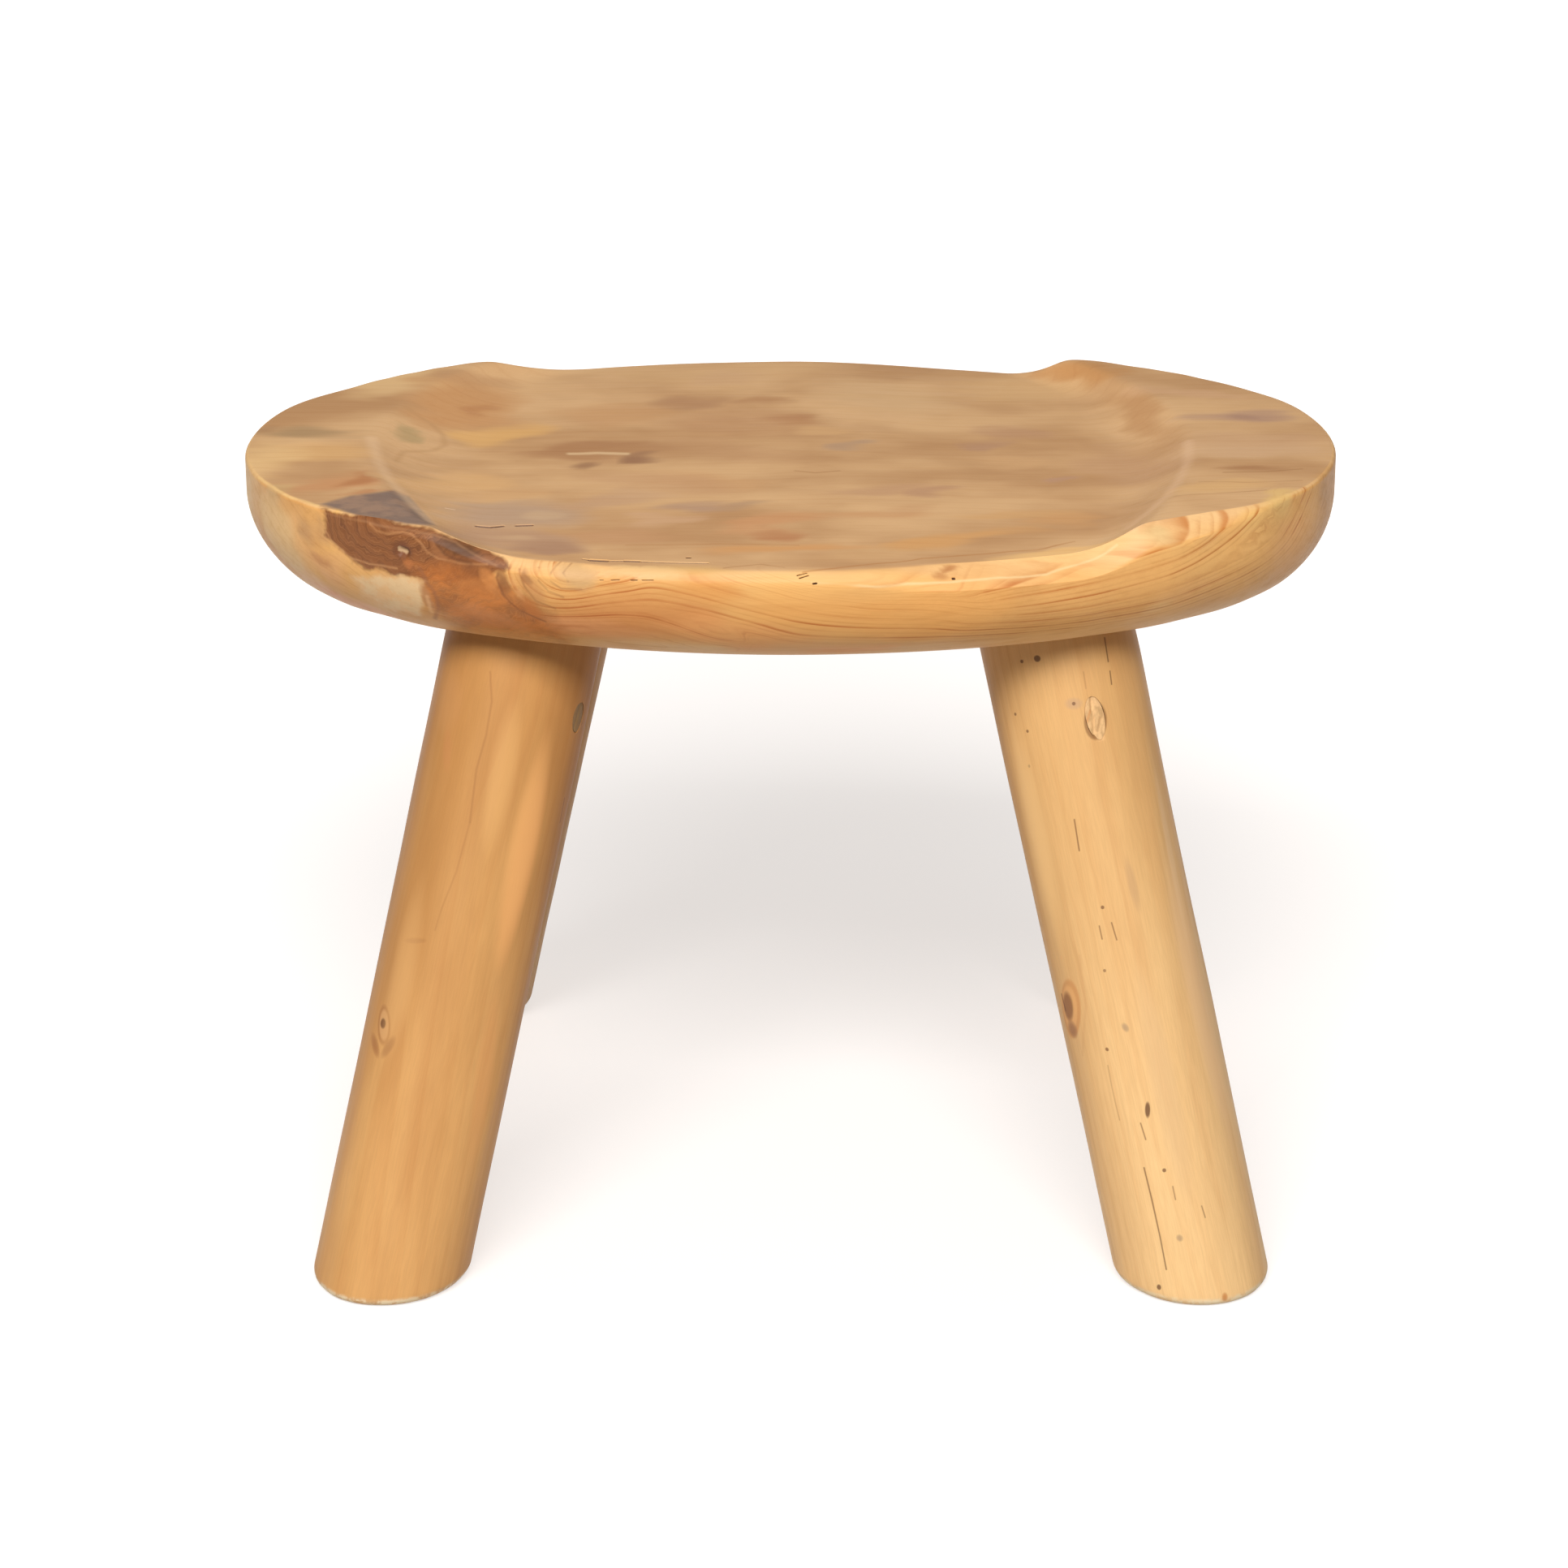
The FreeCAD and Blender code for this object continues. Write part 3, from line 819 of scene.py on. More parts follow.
def shape_leg(place, seed):
    """A round pole, cut level at its foot and its shoulder, with slightly uneven sides."""
    arc = [(LEG_RADIUS - FOOT_ROUND + FOOT_ROUND * math.sin(turn),
            FOOT_ROUND - FOOT_ROUND * math.cos(turn))
           for turn in (math.pi / 2 * step / 8 for step in range(9))]
    sides = [(LEG_RADIUS, FOOT_ROUND + (place.shoulder - FOOT_ROUND) * step / LEG_STEPS)
             for step in range(1, LEG_STEPS + 1)]
    end = place.length + TENON_LENGTH
    profile = [(0, 0), *((LEG_RADIUS * share, 0) for share in (0.2, 0.4, 0.6, 0.75)), *arc,
               *sides, (SHOULDER_INNER, place.shoulder), (TENON_RADIUS, place.shoulder),
               (TENON_RADIUS, end - TENON_CHAMFER), (TENON_RADIUS - TENON_CHAMFER, end),
               (0, end)]
    mesh = turned_shape(profile, LEG_STEPS)
    slope = math.tan(place.tilt)
    for vert in mesh.verts:
        x, y, z = vert.co
        if z > place.shoulder + 0.01:
            continue
        share = (math.hypot(x, y) - SHOULDER_INNER) / (LEG_RADIUS - SHOULDER_INNER)
        share = min(max(share, 0), 1)
        angle = math.atan2(y, x)
        facet = noise.noise(Vector((1.6 * math.cos(angle), 1.6 * math.sin(angle),
                                    z / 110 + seed * 7)))
        knock = noise.noise(Vector((4 * math.cos(angle), 4 * math.sin(angle),
                                    z / 45 + seed * 3)))
        plain = ease(z, place.shoulder - 22, place.shoulder - 6)
        uneven = (0.55 * facet + 0.2 * knock) * (1 - plain)
        slim = 0.15 + place.taper * (1 - z / place.shoulder) + uneven
        shrink = 1 - slim * share / LEG_RADIUS
        vert.co = (x * shrink, y * shrink, z + x * shrink * slope)
    bmesh.ops.transform(mesh, matrix=place.where, verts=mesh.verts)
    return mesh


def socket_cutter(place):
    """The room in the seat of a leg's end and its tenon."""
    floor, wide, narrow = FLOOR_TO_SEAT - 40, LEG_RADIUS - 0.25, TENON_RADIUS + 0.15
    end = place.length + TENON_LENGTH + 1
    mesh = turned_shape([(0, floor), (wide, floor), (wide, place.shoulder),
                         (narrow, place.shoulder), (narrow, end), (0, end)], 96)
    for vert in mesh.verts:
        if vert.co.z < place.shoulder + 0.01:
            vert.co.z += vert.co.x * math.tan(place.tilt)
    bmesh.ops.transform(mesh, matrix=place.where, verts=mesh.verts)
    return mesh


def pilot_cutter(place):
    """The room in the seat of a screw's shank."""
    end = PLUG_LENGTH + SCREW_HEAD + SCREW_LENGTH
    return turned_shape([(0, 20), (SCREW_RADIUS, 20), (SCREW_RADIUS, end), (0, end)], 24,
                        place.bore)


def bore_cutter(place, spare):
    """The room of a plug, a screw's head and its shank, wider by some spare."""
    seat = PLUG_LENGTH + SCREW_HEAD
    wide, narrow = PLUG_RADIUS + spare, SCREW_RADIUS + 0.1
    far = seat + SCREW_LENGTH + 12
    return turned_shape([(0, -14), (wide, -14), (wide, seat), (narrow, seat), (narrow, far),
                         (0, far)], 40, place.bore)


def shape_plug(place, leg, furrow):
    """A short dowel in the bore, cut along the side of the leg, with a torn furrow in it."""
    rings = [(PLUG_RADIUS - 0.12) * step / 14 for step in range(15)]
    profile = [(radius, 0) for radius in rings]
    profile += [(rings[-1], PLUG_LENGTH * step / 6) for step in range(1, 7)]
    profile.append((0, PLUG_LENGTH))
    mesh = turned_shape(profile, 64)
    ground = BVHTree.FromBMesh(leg)
    inward = (place.bore.to_3x3() @ Vector((0, 0, 1))).normalized()
    for vert in mesh.verts:
        x, y, z = vert.co
        start = place.bore @ Vector((x, y, -30))
        mouth, *_ = ground.ray_cast(start, inward)
        mouth = (mouth - start).length - 30 if mouth else 0
        share = z / PLUG_LENGTH
        sunk = 0.25 + furrow * (1.3 * math.exp(-((y + 0.9 - 0.25 * x) / 0.75) ** 2)
                                + 0.25 * noise.noise(Vector((x / 3, y / 1.2, 5))))
        vert.co.z = (mouth + sunk) * (1 - share) + PLUG_LENGTH * share
    bmesh.ops.transform(mesh, matrix=place.bore, verts=mesh.verts)
    bmesh.ops.recalc_face_normals(mesh, faces=mesh.faces)
    return mesh


# Finishes

def wood_shader(graph, shader, colour, height, roughness):
    """Join a colour, a relief and a roughness to a satin wood shader."""
    graph.feed(shader["Base Color"], colour)
    graph.feed(shader["Roughness"], roughness)
    shader["Specular IOR Level"].default_value = 0.3
    graph.relief(shader, height, 0.35, 0.3)


# Soft spots on the seat. A row holds the two ends in pixels, the half width in mm, the depth and
# the shade in the photograph, and in some rows last the share from the middle that is solid.
TOP_SPOTS = (
    # the left flat
    (440, 485, 560, 458, 15, 0.7, 219, 180, 128),
    (330, 562, 470, 560, 13, 0.6, 212, 165, 108),
    (328, 533, 432, 534, 8, 0.8, 172, 138, 98),
    (450, 531, 512, 529, 6, 0.75, 176, 146, 102),
    (308, 541, 326, 534, 5, 0.7, 168, 128, 90),
    (318, 552, 420, 548, 3, 0.5, 216, 170, 118),
    (345, 607, 475, 588, 10, 0.75, 196, 142, 96),
    (405, 600, 478, 586, 4, 0.8, 180, 122, 78),
    (418, 611, 484, 605, 3.5, 0.8, 184, 126, 84),
    # the dish's left wall and the orange patch behind it
    (548, 520, 600, 486, 24, 0.75, 198, 146, 96, 0.1),
    (580, 512, 606, 498, 7, 0.6, 184, 128, 82),
    (560, 474, 640, 466, 9, 0.55, 192, 146, 102),
    (586, 548, 650, 530, 12, 0.75, 216, 167, 104),
    (508, 598, 590, 590, 14, 0.6, 210, 165, 112),
    (560, 612, 640, 606, 9, 0.5, 206, 160, 110),
    # grey-lilac wood in front of it
    (550, 630, 710, 632, 19, 0.75, 182, 149, 120, 0.1),
    (560, 652, 700, 670, 13, 0.7, 180, 141, 110, 0.1),
    (700, 622, 800, 612, 12, 0.45, 190, 150, 116),
    (610, 672, 700, 678, 7, 0.75, 170, 130, 100),
    (640, 634, 690, 634, 7, 0.5, 200, 166, 128),
    (590, 660, 650, 664, 5, 0.5, 200, 164, 124),
    (700, 664, 830, 655, 12, 0.5, 194, 146, 104),
    # round the slit knot
    (660, 556, 830, 560, 15, 0.6, 184, 138, 96),
    (640, 560, 780, 545, 7, 0.65, 172, 124, 84),
    (710, 573, 752, 573, 6, 0.75, 160, 118, 84),
    (790, 563, 832, 568, 6, 0.8, 156, 114, 82),
    (700, 516, 830, 508, 14, 0.5, 196, 146, 98),
    # smudges across the middle
    (828, 500, 905, 496, 9, 0.65, 176, 130, 92),
    (918, 497, 960, 490, 6, 0.55, 178, 128, 86),
    (935, 517, 1020, 516, 8, 0.7, 176, 124, 82),
    (845, 520, 1000, 522, 20, 0.4, 188, 140, 98),
    (840, 470, 930, 462, 13, 0.5, 204, 162, 120),
    (740, 470, 860, 462, 8, 0.35, 206, 164, 116),
    (1010, 480, 1180, 498, 20, 0.55, 209, 170, 124),
    (970, 530, 1040, 532, 4, 0.6, 208, 164, 114),
    (1030, 549, 1070, 549, 6, 0.7, 178, 144, 114),
    (800, 590, 960, 596, 12, 0.45, 202, 154, 106),
    (820, 628, 890, 624, 7, 0.7, 178, 142, 114),
    (880, 626, 960, 619, 5, 0.6, 176, 140, 108),
    (780, 642, 850, 640, 6, 0.5, 204, 162, 124),
    (900, 650, 1010, 636, 12, 0.6, 200, 144, 98),
    (940, 660, 985, 656, 6, 0.7, 182, 126, 84),
    (1040, 606, 1150, 604, 8, 0.5, 186, 142, 106),
    (1140, 608, 1185, 606, 7, 0.55, 180, 136, 104),
    (990, 690, 1180, 664, 8, 0.35, 204, 160, 110),
    (850, 680, 1060, 676, 6, 0.8, 204, 150, 96),
    (1060, 676, 1260, 656, 8, 0.9, 206, 154, 98, 0.1),
    (1260, 650, 1400, 626, 7, 0.6, 204, 154, 102),
    (650, 558, 810, 556, 10, 0.6, 174, 127, 86),
    (730, 590, 900, 600, 16, 0.4, 190, 144, 104),
    (790, 540, 960, 560, 14, 0.35, 192, 146, 104),
    (1020, 640, 1180, 620, 7, 0.4, 196, 148, 104),
    (900, 640, 1200, 632, 6, 0.4, 198, 146, 98),
    # the right half
    (1190, 478, 1320, 482, 18, 0.6, 210, 168, 118),
    (1206, 532, 1268, 534, 12, 0.55, 186, 142, 106),
    (1192, 548, 1222, 551, 7, 0.5, 176, 134, 106),
    (1286, 590, 1318, 592, 6, 0.6, 184, 142, 114),
    (1180, 570, 1290, 568, 8, 0.5, 208, 164, 116),
    (1300, 460, 1362, 462, 9, 0.7, 204, 148, 92),
    # partly orange wood, partly painted shade on the dish's right wall, which turns away from the
    # light
    (1380, 480, 1450, 536, 13, 0.6, 192, 142, 94),
    (1350, 560, 1440, 580, 20, 0.4, 192, 148, 110),
    (1480, 512, 1592, 512, 9, 0.7, 176, 138, 114),
    (1510, 511, 1552, 513, 5, 0.5, 164, 126, 104),
    (1400, 478, 1560, 492, 8, 0.5, 206, 162, 122),
    (1480, 540, 1620, 545, 12, 0.5, 200, 158, 118),
    (1500, 581, 1560, 580, 5, 0.65, 166, 118, 78),
    (1440, 608, 1590, 598, 8, 0.7, 212, 168, 114),
    (1450, 560, 1600, 556, 10, 0.6, 204, 164, 124),
    (1180, 640, 1380, 630, 6, 0.5, 206, 158, 104),
)
FRONT_SPOTS = (
    # the left end
    (312, 600, 340, 690, 26, 0.8, 198, 162, 112, 0.1),
    (336, 640, 348, 672, 14, 0.6, 196, 160, 104),
    (360, 640, 372, 700, 14, 0.7, 208, 160, 104),
    (352, 700, 378, 722, 9, 0.7, 178, 140, 102),
    (372, 712, 448, 748, 6, 0.85, 158, 114, 84),
    (448, 752, 560, 778, 5, 0.7, 176, 128, 92),
    (396, 632, 401, 672, 6, 0.95, 236, 184, 106, 0.1),
    (402, 684, 416, 720, 9, 0.8, 200, 150, 98),
    (402, 686, 414, 698, 3, 0.6, 176, 120, 72),
    # bright gold wood in the middle and on the right
    (880, 724, 1200, 724, 9, 0.7, 241, 189, 116),
    (880, 752, 1300, 745, 15, 0.7, 228, 165, 92),
    (760, 712, 900, 706, 5, 0.75, 240, 190, 122),
    (800, 724, 900, 732, 7, 0.7, 222, 156, 86),
    (700, 762, 900, 778, 10, 0.7, 196, 134, 78),
    (900, 796, 1150, 796, 6, 0.7, 182, 130, 82),
    (1240, 690, 1400, 662, 7, 0.9, 246, 196, 130, 0.2),
    (1156, 703, 1188, 697, 2.6, 0.8, 200, 136, 80),
    (1158, 706, 1182, 718, 2.6, 0.7, 206, 142, 84),
    (690, 745, 870, 774, 15, 0.7, 188, 126, 70),
    (800, 768, 1010, 790, 8, 0.55, 198, 138, 82),
    (640, 762, 800, 788, 8, 0.85, 178, 122, 76),
    (378, 640, 384, 664, 7, 0.8, 190, 142, 92),
    (318, 594, 350, 610, 6, 0.7, 204, 164, 112),
    (330, 620, 372, 700, 14, 0.8, 206, 168, 116, 0.1),
    (345, 690, 420, 730, 7, 0.7, 184, 144, 102),
    (1400, 664, 1466, 650, 5, 0.8, 244, 206, 144),
    (1478, 650, 1500, 668, 7, 0.75, 244, 190, 122),
    (1520, 650, 1590, 628, 8, 0.7, 228, 182, 112),
    (1555, 620, 1596, 606, 5, 0.7, 232, 190, 120),
    (1490, 700, 1560, 660, 12, 0.6, 222, 170, 102),
    (1560, 700, 1625, 630, 14, 0.6, 196, 148, 96),
    (1632, 604, 1640, 560, 10, 0.9, 180, 134, 82),
    (1400, 752, 1500, 722, 8, 0.6, 208, 156, 98),
    (1385, 760, 1440, 748, 4, 0.7, 226, 182, 122),
    (1280, 738, 1460, 712, 14, 0.7, 230, 172, 102),
    (1500, 690, 1590, 640, 9, 0.6, 222, 172, 106),
)

# Cracks and holes in the seat: (pixels, half width in mm, depth in mm, darkness)
SEAT_CRACKS = (
    (((719, 689), (739, 691), (775, 691), (820, 693), (872, 694)), 0.8, 0.8, 0.8),
    (((728, 690), (748, 691)), 1.4, 1.4, 1),
    (((770, 691), (787, 691.5)), 1.2, 1.2, 1),
    (((588, 648), (604, 649.5), (619, 648)), 1.3, 1.2, 1),
    (((637, 647.5), (655, 647)), 1.2, 1.2, 1),
    (((982, 709), (994, 706)), 0.35, 0.6, 0.5),
    (((985, 712.5), (996, 709)), 0.35, 0.6, 0.5),
    (((1002, 719.5), (1006, 719)), 0.5, 0.8, 0.7),
    (((739, 715), (743, 715)), 0.3, 0.4, 0.35),
    (((753, 715), (763, 714.5)), 0.3, 0.4, 0.35),
    (((777, 715), (785, 715)), 0.35, 0.4, 0.4),
    (((791, 715), (805, 715)), 0.3, 0.4, 0.35),
    (((847, 687), (850, 687)), 1, 0.6, 1),
    (((495, 680), (499, 681)), 3, 1.7, 0),
    (((1174, 713), (1176, 713)), 0.7, 0.6, 0.8),
)

# Pale sapwood edge, grain lines, and painted highlights on the dish's brim creases and the rim's
# edges: (pixels, half width in mm, depth, shade)
TOP_LINES = (
    (((500, 502), (530, 521), (546, 536), (548, 548), (534, 555), (497, 557), (488, 568)),
     2.6, 0.45, (182, 136, 90)),
    # the next two are painted highlights along the dish's brim creases, left and right
    (((458, 540), (464, 562), (476, 586), (500, 613), (530, 643)), 5, 0.4, (220, 184, 144)),
    (((1463, 545), (1464, 566), (1454, 588), (1438, 610), (1415, 631), (1392, 649)),
     4.6, 0.35, (216, 178, 142)),
    (((702, 559), (736, 558), (772, 559)), 2.5, 0.95, (214, 178, 134)),
    (((549, 626), (560, 628)), 0.7, 0.9, (236, 206, 174)),
    (((980, 580), (1004, 583), (1034, 580)), 1.3, 0.55, (164, 116, 74)),
    (((771, 672), (880, 670), (984, 672)), 0.8, 0.6, (172, 118, 70)),
    (((892, 700), (937, 695), (966, 699)), 0.9, 0.65, (170, 122, 78)),
    (((990, 706), (1030, 700), (1100, 693), (1137, 688), (1212, 683), (1279, 677), (1324, 667)),
     1.0, 0.6, (172, 112, 58)),
    (((1508, 582), (1560, 581), (1604, 578)), 1.2, 0.55, (150, 102, 60)),
    (((1478, 594), (1540, 594), (1604, 592)), 0.9, 0.55, (168, 118, 72)),
    (((1446, 612), (1500, 608), (1560, 604)), 0.9, 0.5, (166, 116, 70)),
)
FRONT_EDGE_HIGHLIGHTS = (
    # painted highlights along the front arris and the rounded front edge
    (((318, 588), (340, 603), (359, 613), (392, 623)), 1.3, 0.75, (250, 206, 138)),
    (((1000, 719), (1080, 722), (1180, 716), (1290, 708), (1350, 688), (1376, 672)),
     1.0, 0.75, (255, 220, 160)),
)
# How fast the growth lines count up per millimetre, and how far a guide line's pull reaches
GRAIN_RATE = Vector((0.002, 0.143, -0.183))
GRAIN_REACH = 6
GUIDE_STEP = 4
# Guide lines for the growth lines: (pixels, count of the line)
GRAIN_GUIDES = (
    (((1413, 650), (1436, 645), (1458, 645), (1473, 651), (1458, 661), (1421, 677), (1370, 692),
      (1295, 711), (1210, 728)), -72),
    (((1505, 638), (1501, 650), (1484, 671), (1455, 688), (1400, 705), (1316, 722),
      (1231, 736)), -71),
    (((1545, 633), (1534, 650), (1505, 675), (1440, 708), (1350, 732), (1250, 748)), -70),
    (((1606, 604), (1602, 633), (1581, 663), (1547, 692), (1484, 722), (1400, 747),
      (1295, 764), (1177, 772)), -68),
    (((1610, 616), (1585, 671), (1505, 722), (1421, 751), (1295, 770), (1139, 772)), -67),
    (((617, 700), (611, 712), (616, 730), (632, 748), (660, 757), (700, 758), (764, 757),
      (797, 759), (832, 769), (864, 781), (905, 793)), -65),
    (((1311, 774), (1236, 779), (1126, 787), (1050, 788), (980, 784), (935, 770), (876, 752),
      (820, 737), (773, 731), (740, 736), (715, 741), (690, 748), (664, 748), (645, 737),
      (634, 718), (632, 700)), -66),
    (((1139, 772), (1060, 773), (1000, 768), (930, 753), (860, 735), (810, 726), (770, 725),
      (730, 731), (705, 737), (684, 740), (666, 733), (655, 717), (652, 700)), -67),
    (((672, 697), (669, 712), (677, 724), (692, 730), (715, 728), (750, 722), (790, 719)), -68),
    (((690, 693), (682, 706), (686, 717), (702, 722), (730, 720), (780, 717)), -69),
    (((703, 691), (696, 704), (703, 714), (730, 714)), -70),
)


# The burl's four panels: corners in pixels, softness of the edge in mm
PURPLE_PANEL = (((396, 621), (432, 611), (486, 604), (504, 612), (536, 647), (502, 646),
                 (440, 635)), 0.8)
DARK_PANEL = (((395, 620), (432, 629), (470, 637), (534, 646), (572, 658), (600, 674), (628, 696),
               (606, 712), (553, 717), (489, 707), (454, 699), (432, 689), (402, 662)), 1)
RUSTY_PANEL = (((512, 698), (618, 690), (640, 706), (668, 746), (700, 764), (700, 792), (570, 775),
                (530, 750)), 5)
CREAM_PANEL = (((424, 690), (489, 707), (512, 706), (523, 716), (519, 756), (486, 753),
                (444, 730)), 1.6)


def add_burl(graph, colour, place, ground, flank):
    """The red-brown burl, its knot hole and the cream patch at the seat's front left."""
    shift = graph.shake(place, (0.09, 0.09, 0.09), 3, 0.6)
    wobbly = graph.vector("ADD", place, graph.scaled(shift, 7))
    swirl = graph.vector("ADD", place, graph.scaled(shift, 11))

    def clouds(rate, low, high, first, second, pixel):
        """Two tones in soft clouds."""
        share = graph.step(graph.cloud(place, rate), low, high)
        return graph.mix(share, ground.wood(first, pixel), ground.wood(second, pixel))

    # growth lines in arcs round a point on the rim, wide ones and fine ones
    away = graph.vector("SUBTRACT", swirl, ground.at((512, 640)))
    away = graph.vector("LENGTH", graph.vector("MULTIPLY", away, (0.55, 1, 1)))
    turns = graph.group(RINGS, Count=graph.times(away, 0.34), Place=place, Line_share=0.5)
    fine = graph.group(RINGS, Count=graph.times(away, 1.1), Place=place, Line_share=0.4)

    def lined(shade, pixel, wide_share, wide_shade, fine_share, fine_shade):
        """A tone with the growth lines drawn over it."""
        shade = graph.cover(turns["Line"], wide_share, shade, ground.wood(wide_shade, pixel))
        return graph.cover(fine["Line"], fine_share, shade, ground.wood(fine_shade, pixel))

    # purple patch on the upper side
    purple = clouds(0.09, 0.4, 0.65, (126, 104, 92), (150, 120, 100), (460, 625))
    patch = panel_mask(graph, place, ground, *PURPLE_PANEL)
    colour = graph.cover(patch, 0.95, colour, purple)

    # red-brown burl below it and rusty wood right of that, both on the side only
    side = graph.step(flank, 0.1, 0.6)
    red = graph.mix(turns["Fade"], ground.wood((114, 65, 33), (480, 665)),
                    ground.wood((146, 89, 48), (480, 665)))
    red = lined(red, (480, 665), 0.6, (96, 54, 28), 0.3, (190, 130, 80))
    burl = graph.math("MINIMUM", panel_mask(graph, wobbly, ground, *DARK_PANEL), side)
    colour = graph.cover(burl, 0.97, colour, red)
    brown = clouds(0.06, 0.35, 0.65, (184, 108, 48), (138, 80, 37), (600, 730))
    brown = lined(brown, (600, 730), 0.4, (132, 80, 44), 0.22, (206, 142, 84))
    rust = graph.math("MINIMUM", panel_mask(graph, wobbly, ground, *RUSTY_PANEL), side)
    colour = graph.cover(rust, 0.88, colour, brown)

    # cream patch with soft marbling
    marble = clouds(0.12, 0.42, 0.62, (238, 202, 152), (214, 172, 122), (480, 730))
    cream = panel_mask(graph, wobbly, ground, *CREAM_PANEL)
    colour = graph.cover(cream, 0.92, colour, marble)
    colour = add_blots(graph, colour, wobbly, ground, BURL_SPOTS)
    return add_strokes(graph, colour, bent_lines(graph, place), ground, BURL_LINES)


def bent_lines(graph, place):
    """A place shaken a little, so that drawn lines waver."""
    shift = graph.shake(place, (0.04, 0.12, 0.12), 2, 0.5)
    return graph.vector("ADD", place, graph.vector("MULTIPLY", shift, (0, 3, 2)))


# Spots and lines on the burl, as on the rest of the seat; the last line is a painted highlight
# along the arris
BURL_SPOTS = (
    (688, 706, 730, 712, 7, 0.85, 226, 180, 124, 0.1),
    (640, 704, 668, 740, 5, 0.7, 196, 138, 84),
    (730, 704, 850, 703, 4, 0.85, 244, 198, 136, 0.1),
    (540, 662, 590, 688, 5, 0.85, 96, 58, 26),
    (560, 690, 606, 698, 3, 0.7, 132, 80, 44),
    (532, 664, 548, 690, 3, 0.5, 168, 110, 66),
    (540, 775, 574, 736, 7, 0.85, 150, 104, 74, 0.1),
    (566, 724, 604, 724, 6, 0.5, 192, 118, 58),
    (592, 702, 612, 728, 4, 0.6, 206, 134, 72),
    (616, 700, 630, 736, 3.4, 0.75, 128, 78, 44),
    (646, 704, 652, 722, 2.6, 0.6, 150, 98, 60),
    (628, 706, 644, 742, 2.2, 0.6, 216, 158, 100),
    (560, 742, 660, 778, 7, 0.55, 164, 106, 62),
    (640, 740, 668, 762, 5, 0.6, 176, 106, 52),
    (520, 716, 534, 752, 3.4, 0.7, 164, 116, 76),
    (500, 692, 507, 699, 3, 0.6, 188, 114, 62),
    (497, 680, 498, 681, 5.4, 0.8, 112, 66, 38, 0.35),
    (497.5, 680.5, 499, 682, 2.4, 0.95, 222, 186, 142, 0.3),
    (384, 716, 500, 764, 7, 0.6, 172, 124, 90),
)
BURL_LINES = (
    (((517, 700), (522, 709), (526, 718), (534, 727), (539, 738), (540, 750), (536, 762)),
     1.7, 0.55, (138, 88, 56)),
    (((527, 736), (532, 754)), 1.7, 0.6, (210, 166, 118)),
    (((402, 655), (409, 667), (420, 677), (435, 687), (455, 695), (489, 700)), 1, 0.4,
     (212, 156, 104)),
    (((456, 646), (464, 654), (474, 657), (496, 655), (508, 659), (518, 668), (526, 679),
      (540, 688), (565, 694), (600, 696)), 1, 0.4, (206, 146, 94)),
    (((534, 660), (539, 672), (548, 683), (562, 690), (580, 694)), 1.3, 0.5, (88, 50, 26)),
    (((617, 698), (612, 712), (620, 732), (640, 752), (672, 766)), 1, 0.6, (120, 72, 40)),
    (((640, 702), (646, 722), (660, 740), (684, 750)), 0.9, 0.6, (146, 94, 52)),
    (((664, 700), (664, 716), (676, 730), (694, 736)), 0.9, 0.6, (172, 118, 70)),
    (((691, 692), (679, 706), (679, 717), (692, 726), (716, 726)), 0.9, 0.65, (176, 124, 78)),
    (((704, 694), (694, 707), (700, 716)), 0.8, 0.6, (184, 134, 88)),
    # a painted highlight along the arris above the burl
    (((400, 632), (430, 639), (465, 647), (500, 652), (534, 659), (562, 669), (586, 684),
      (612, 698)), 1, 0.25, (206, 152, 104)),
)


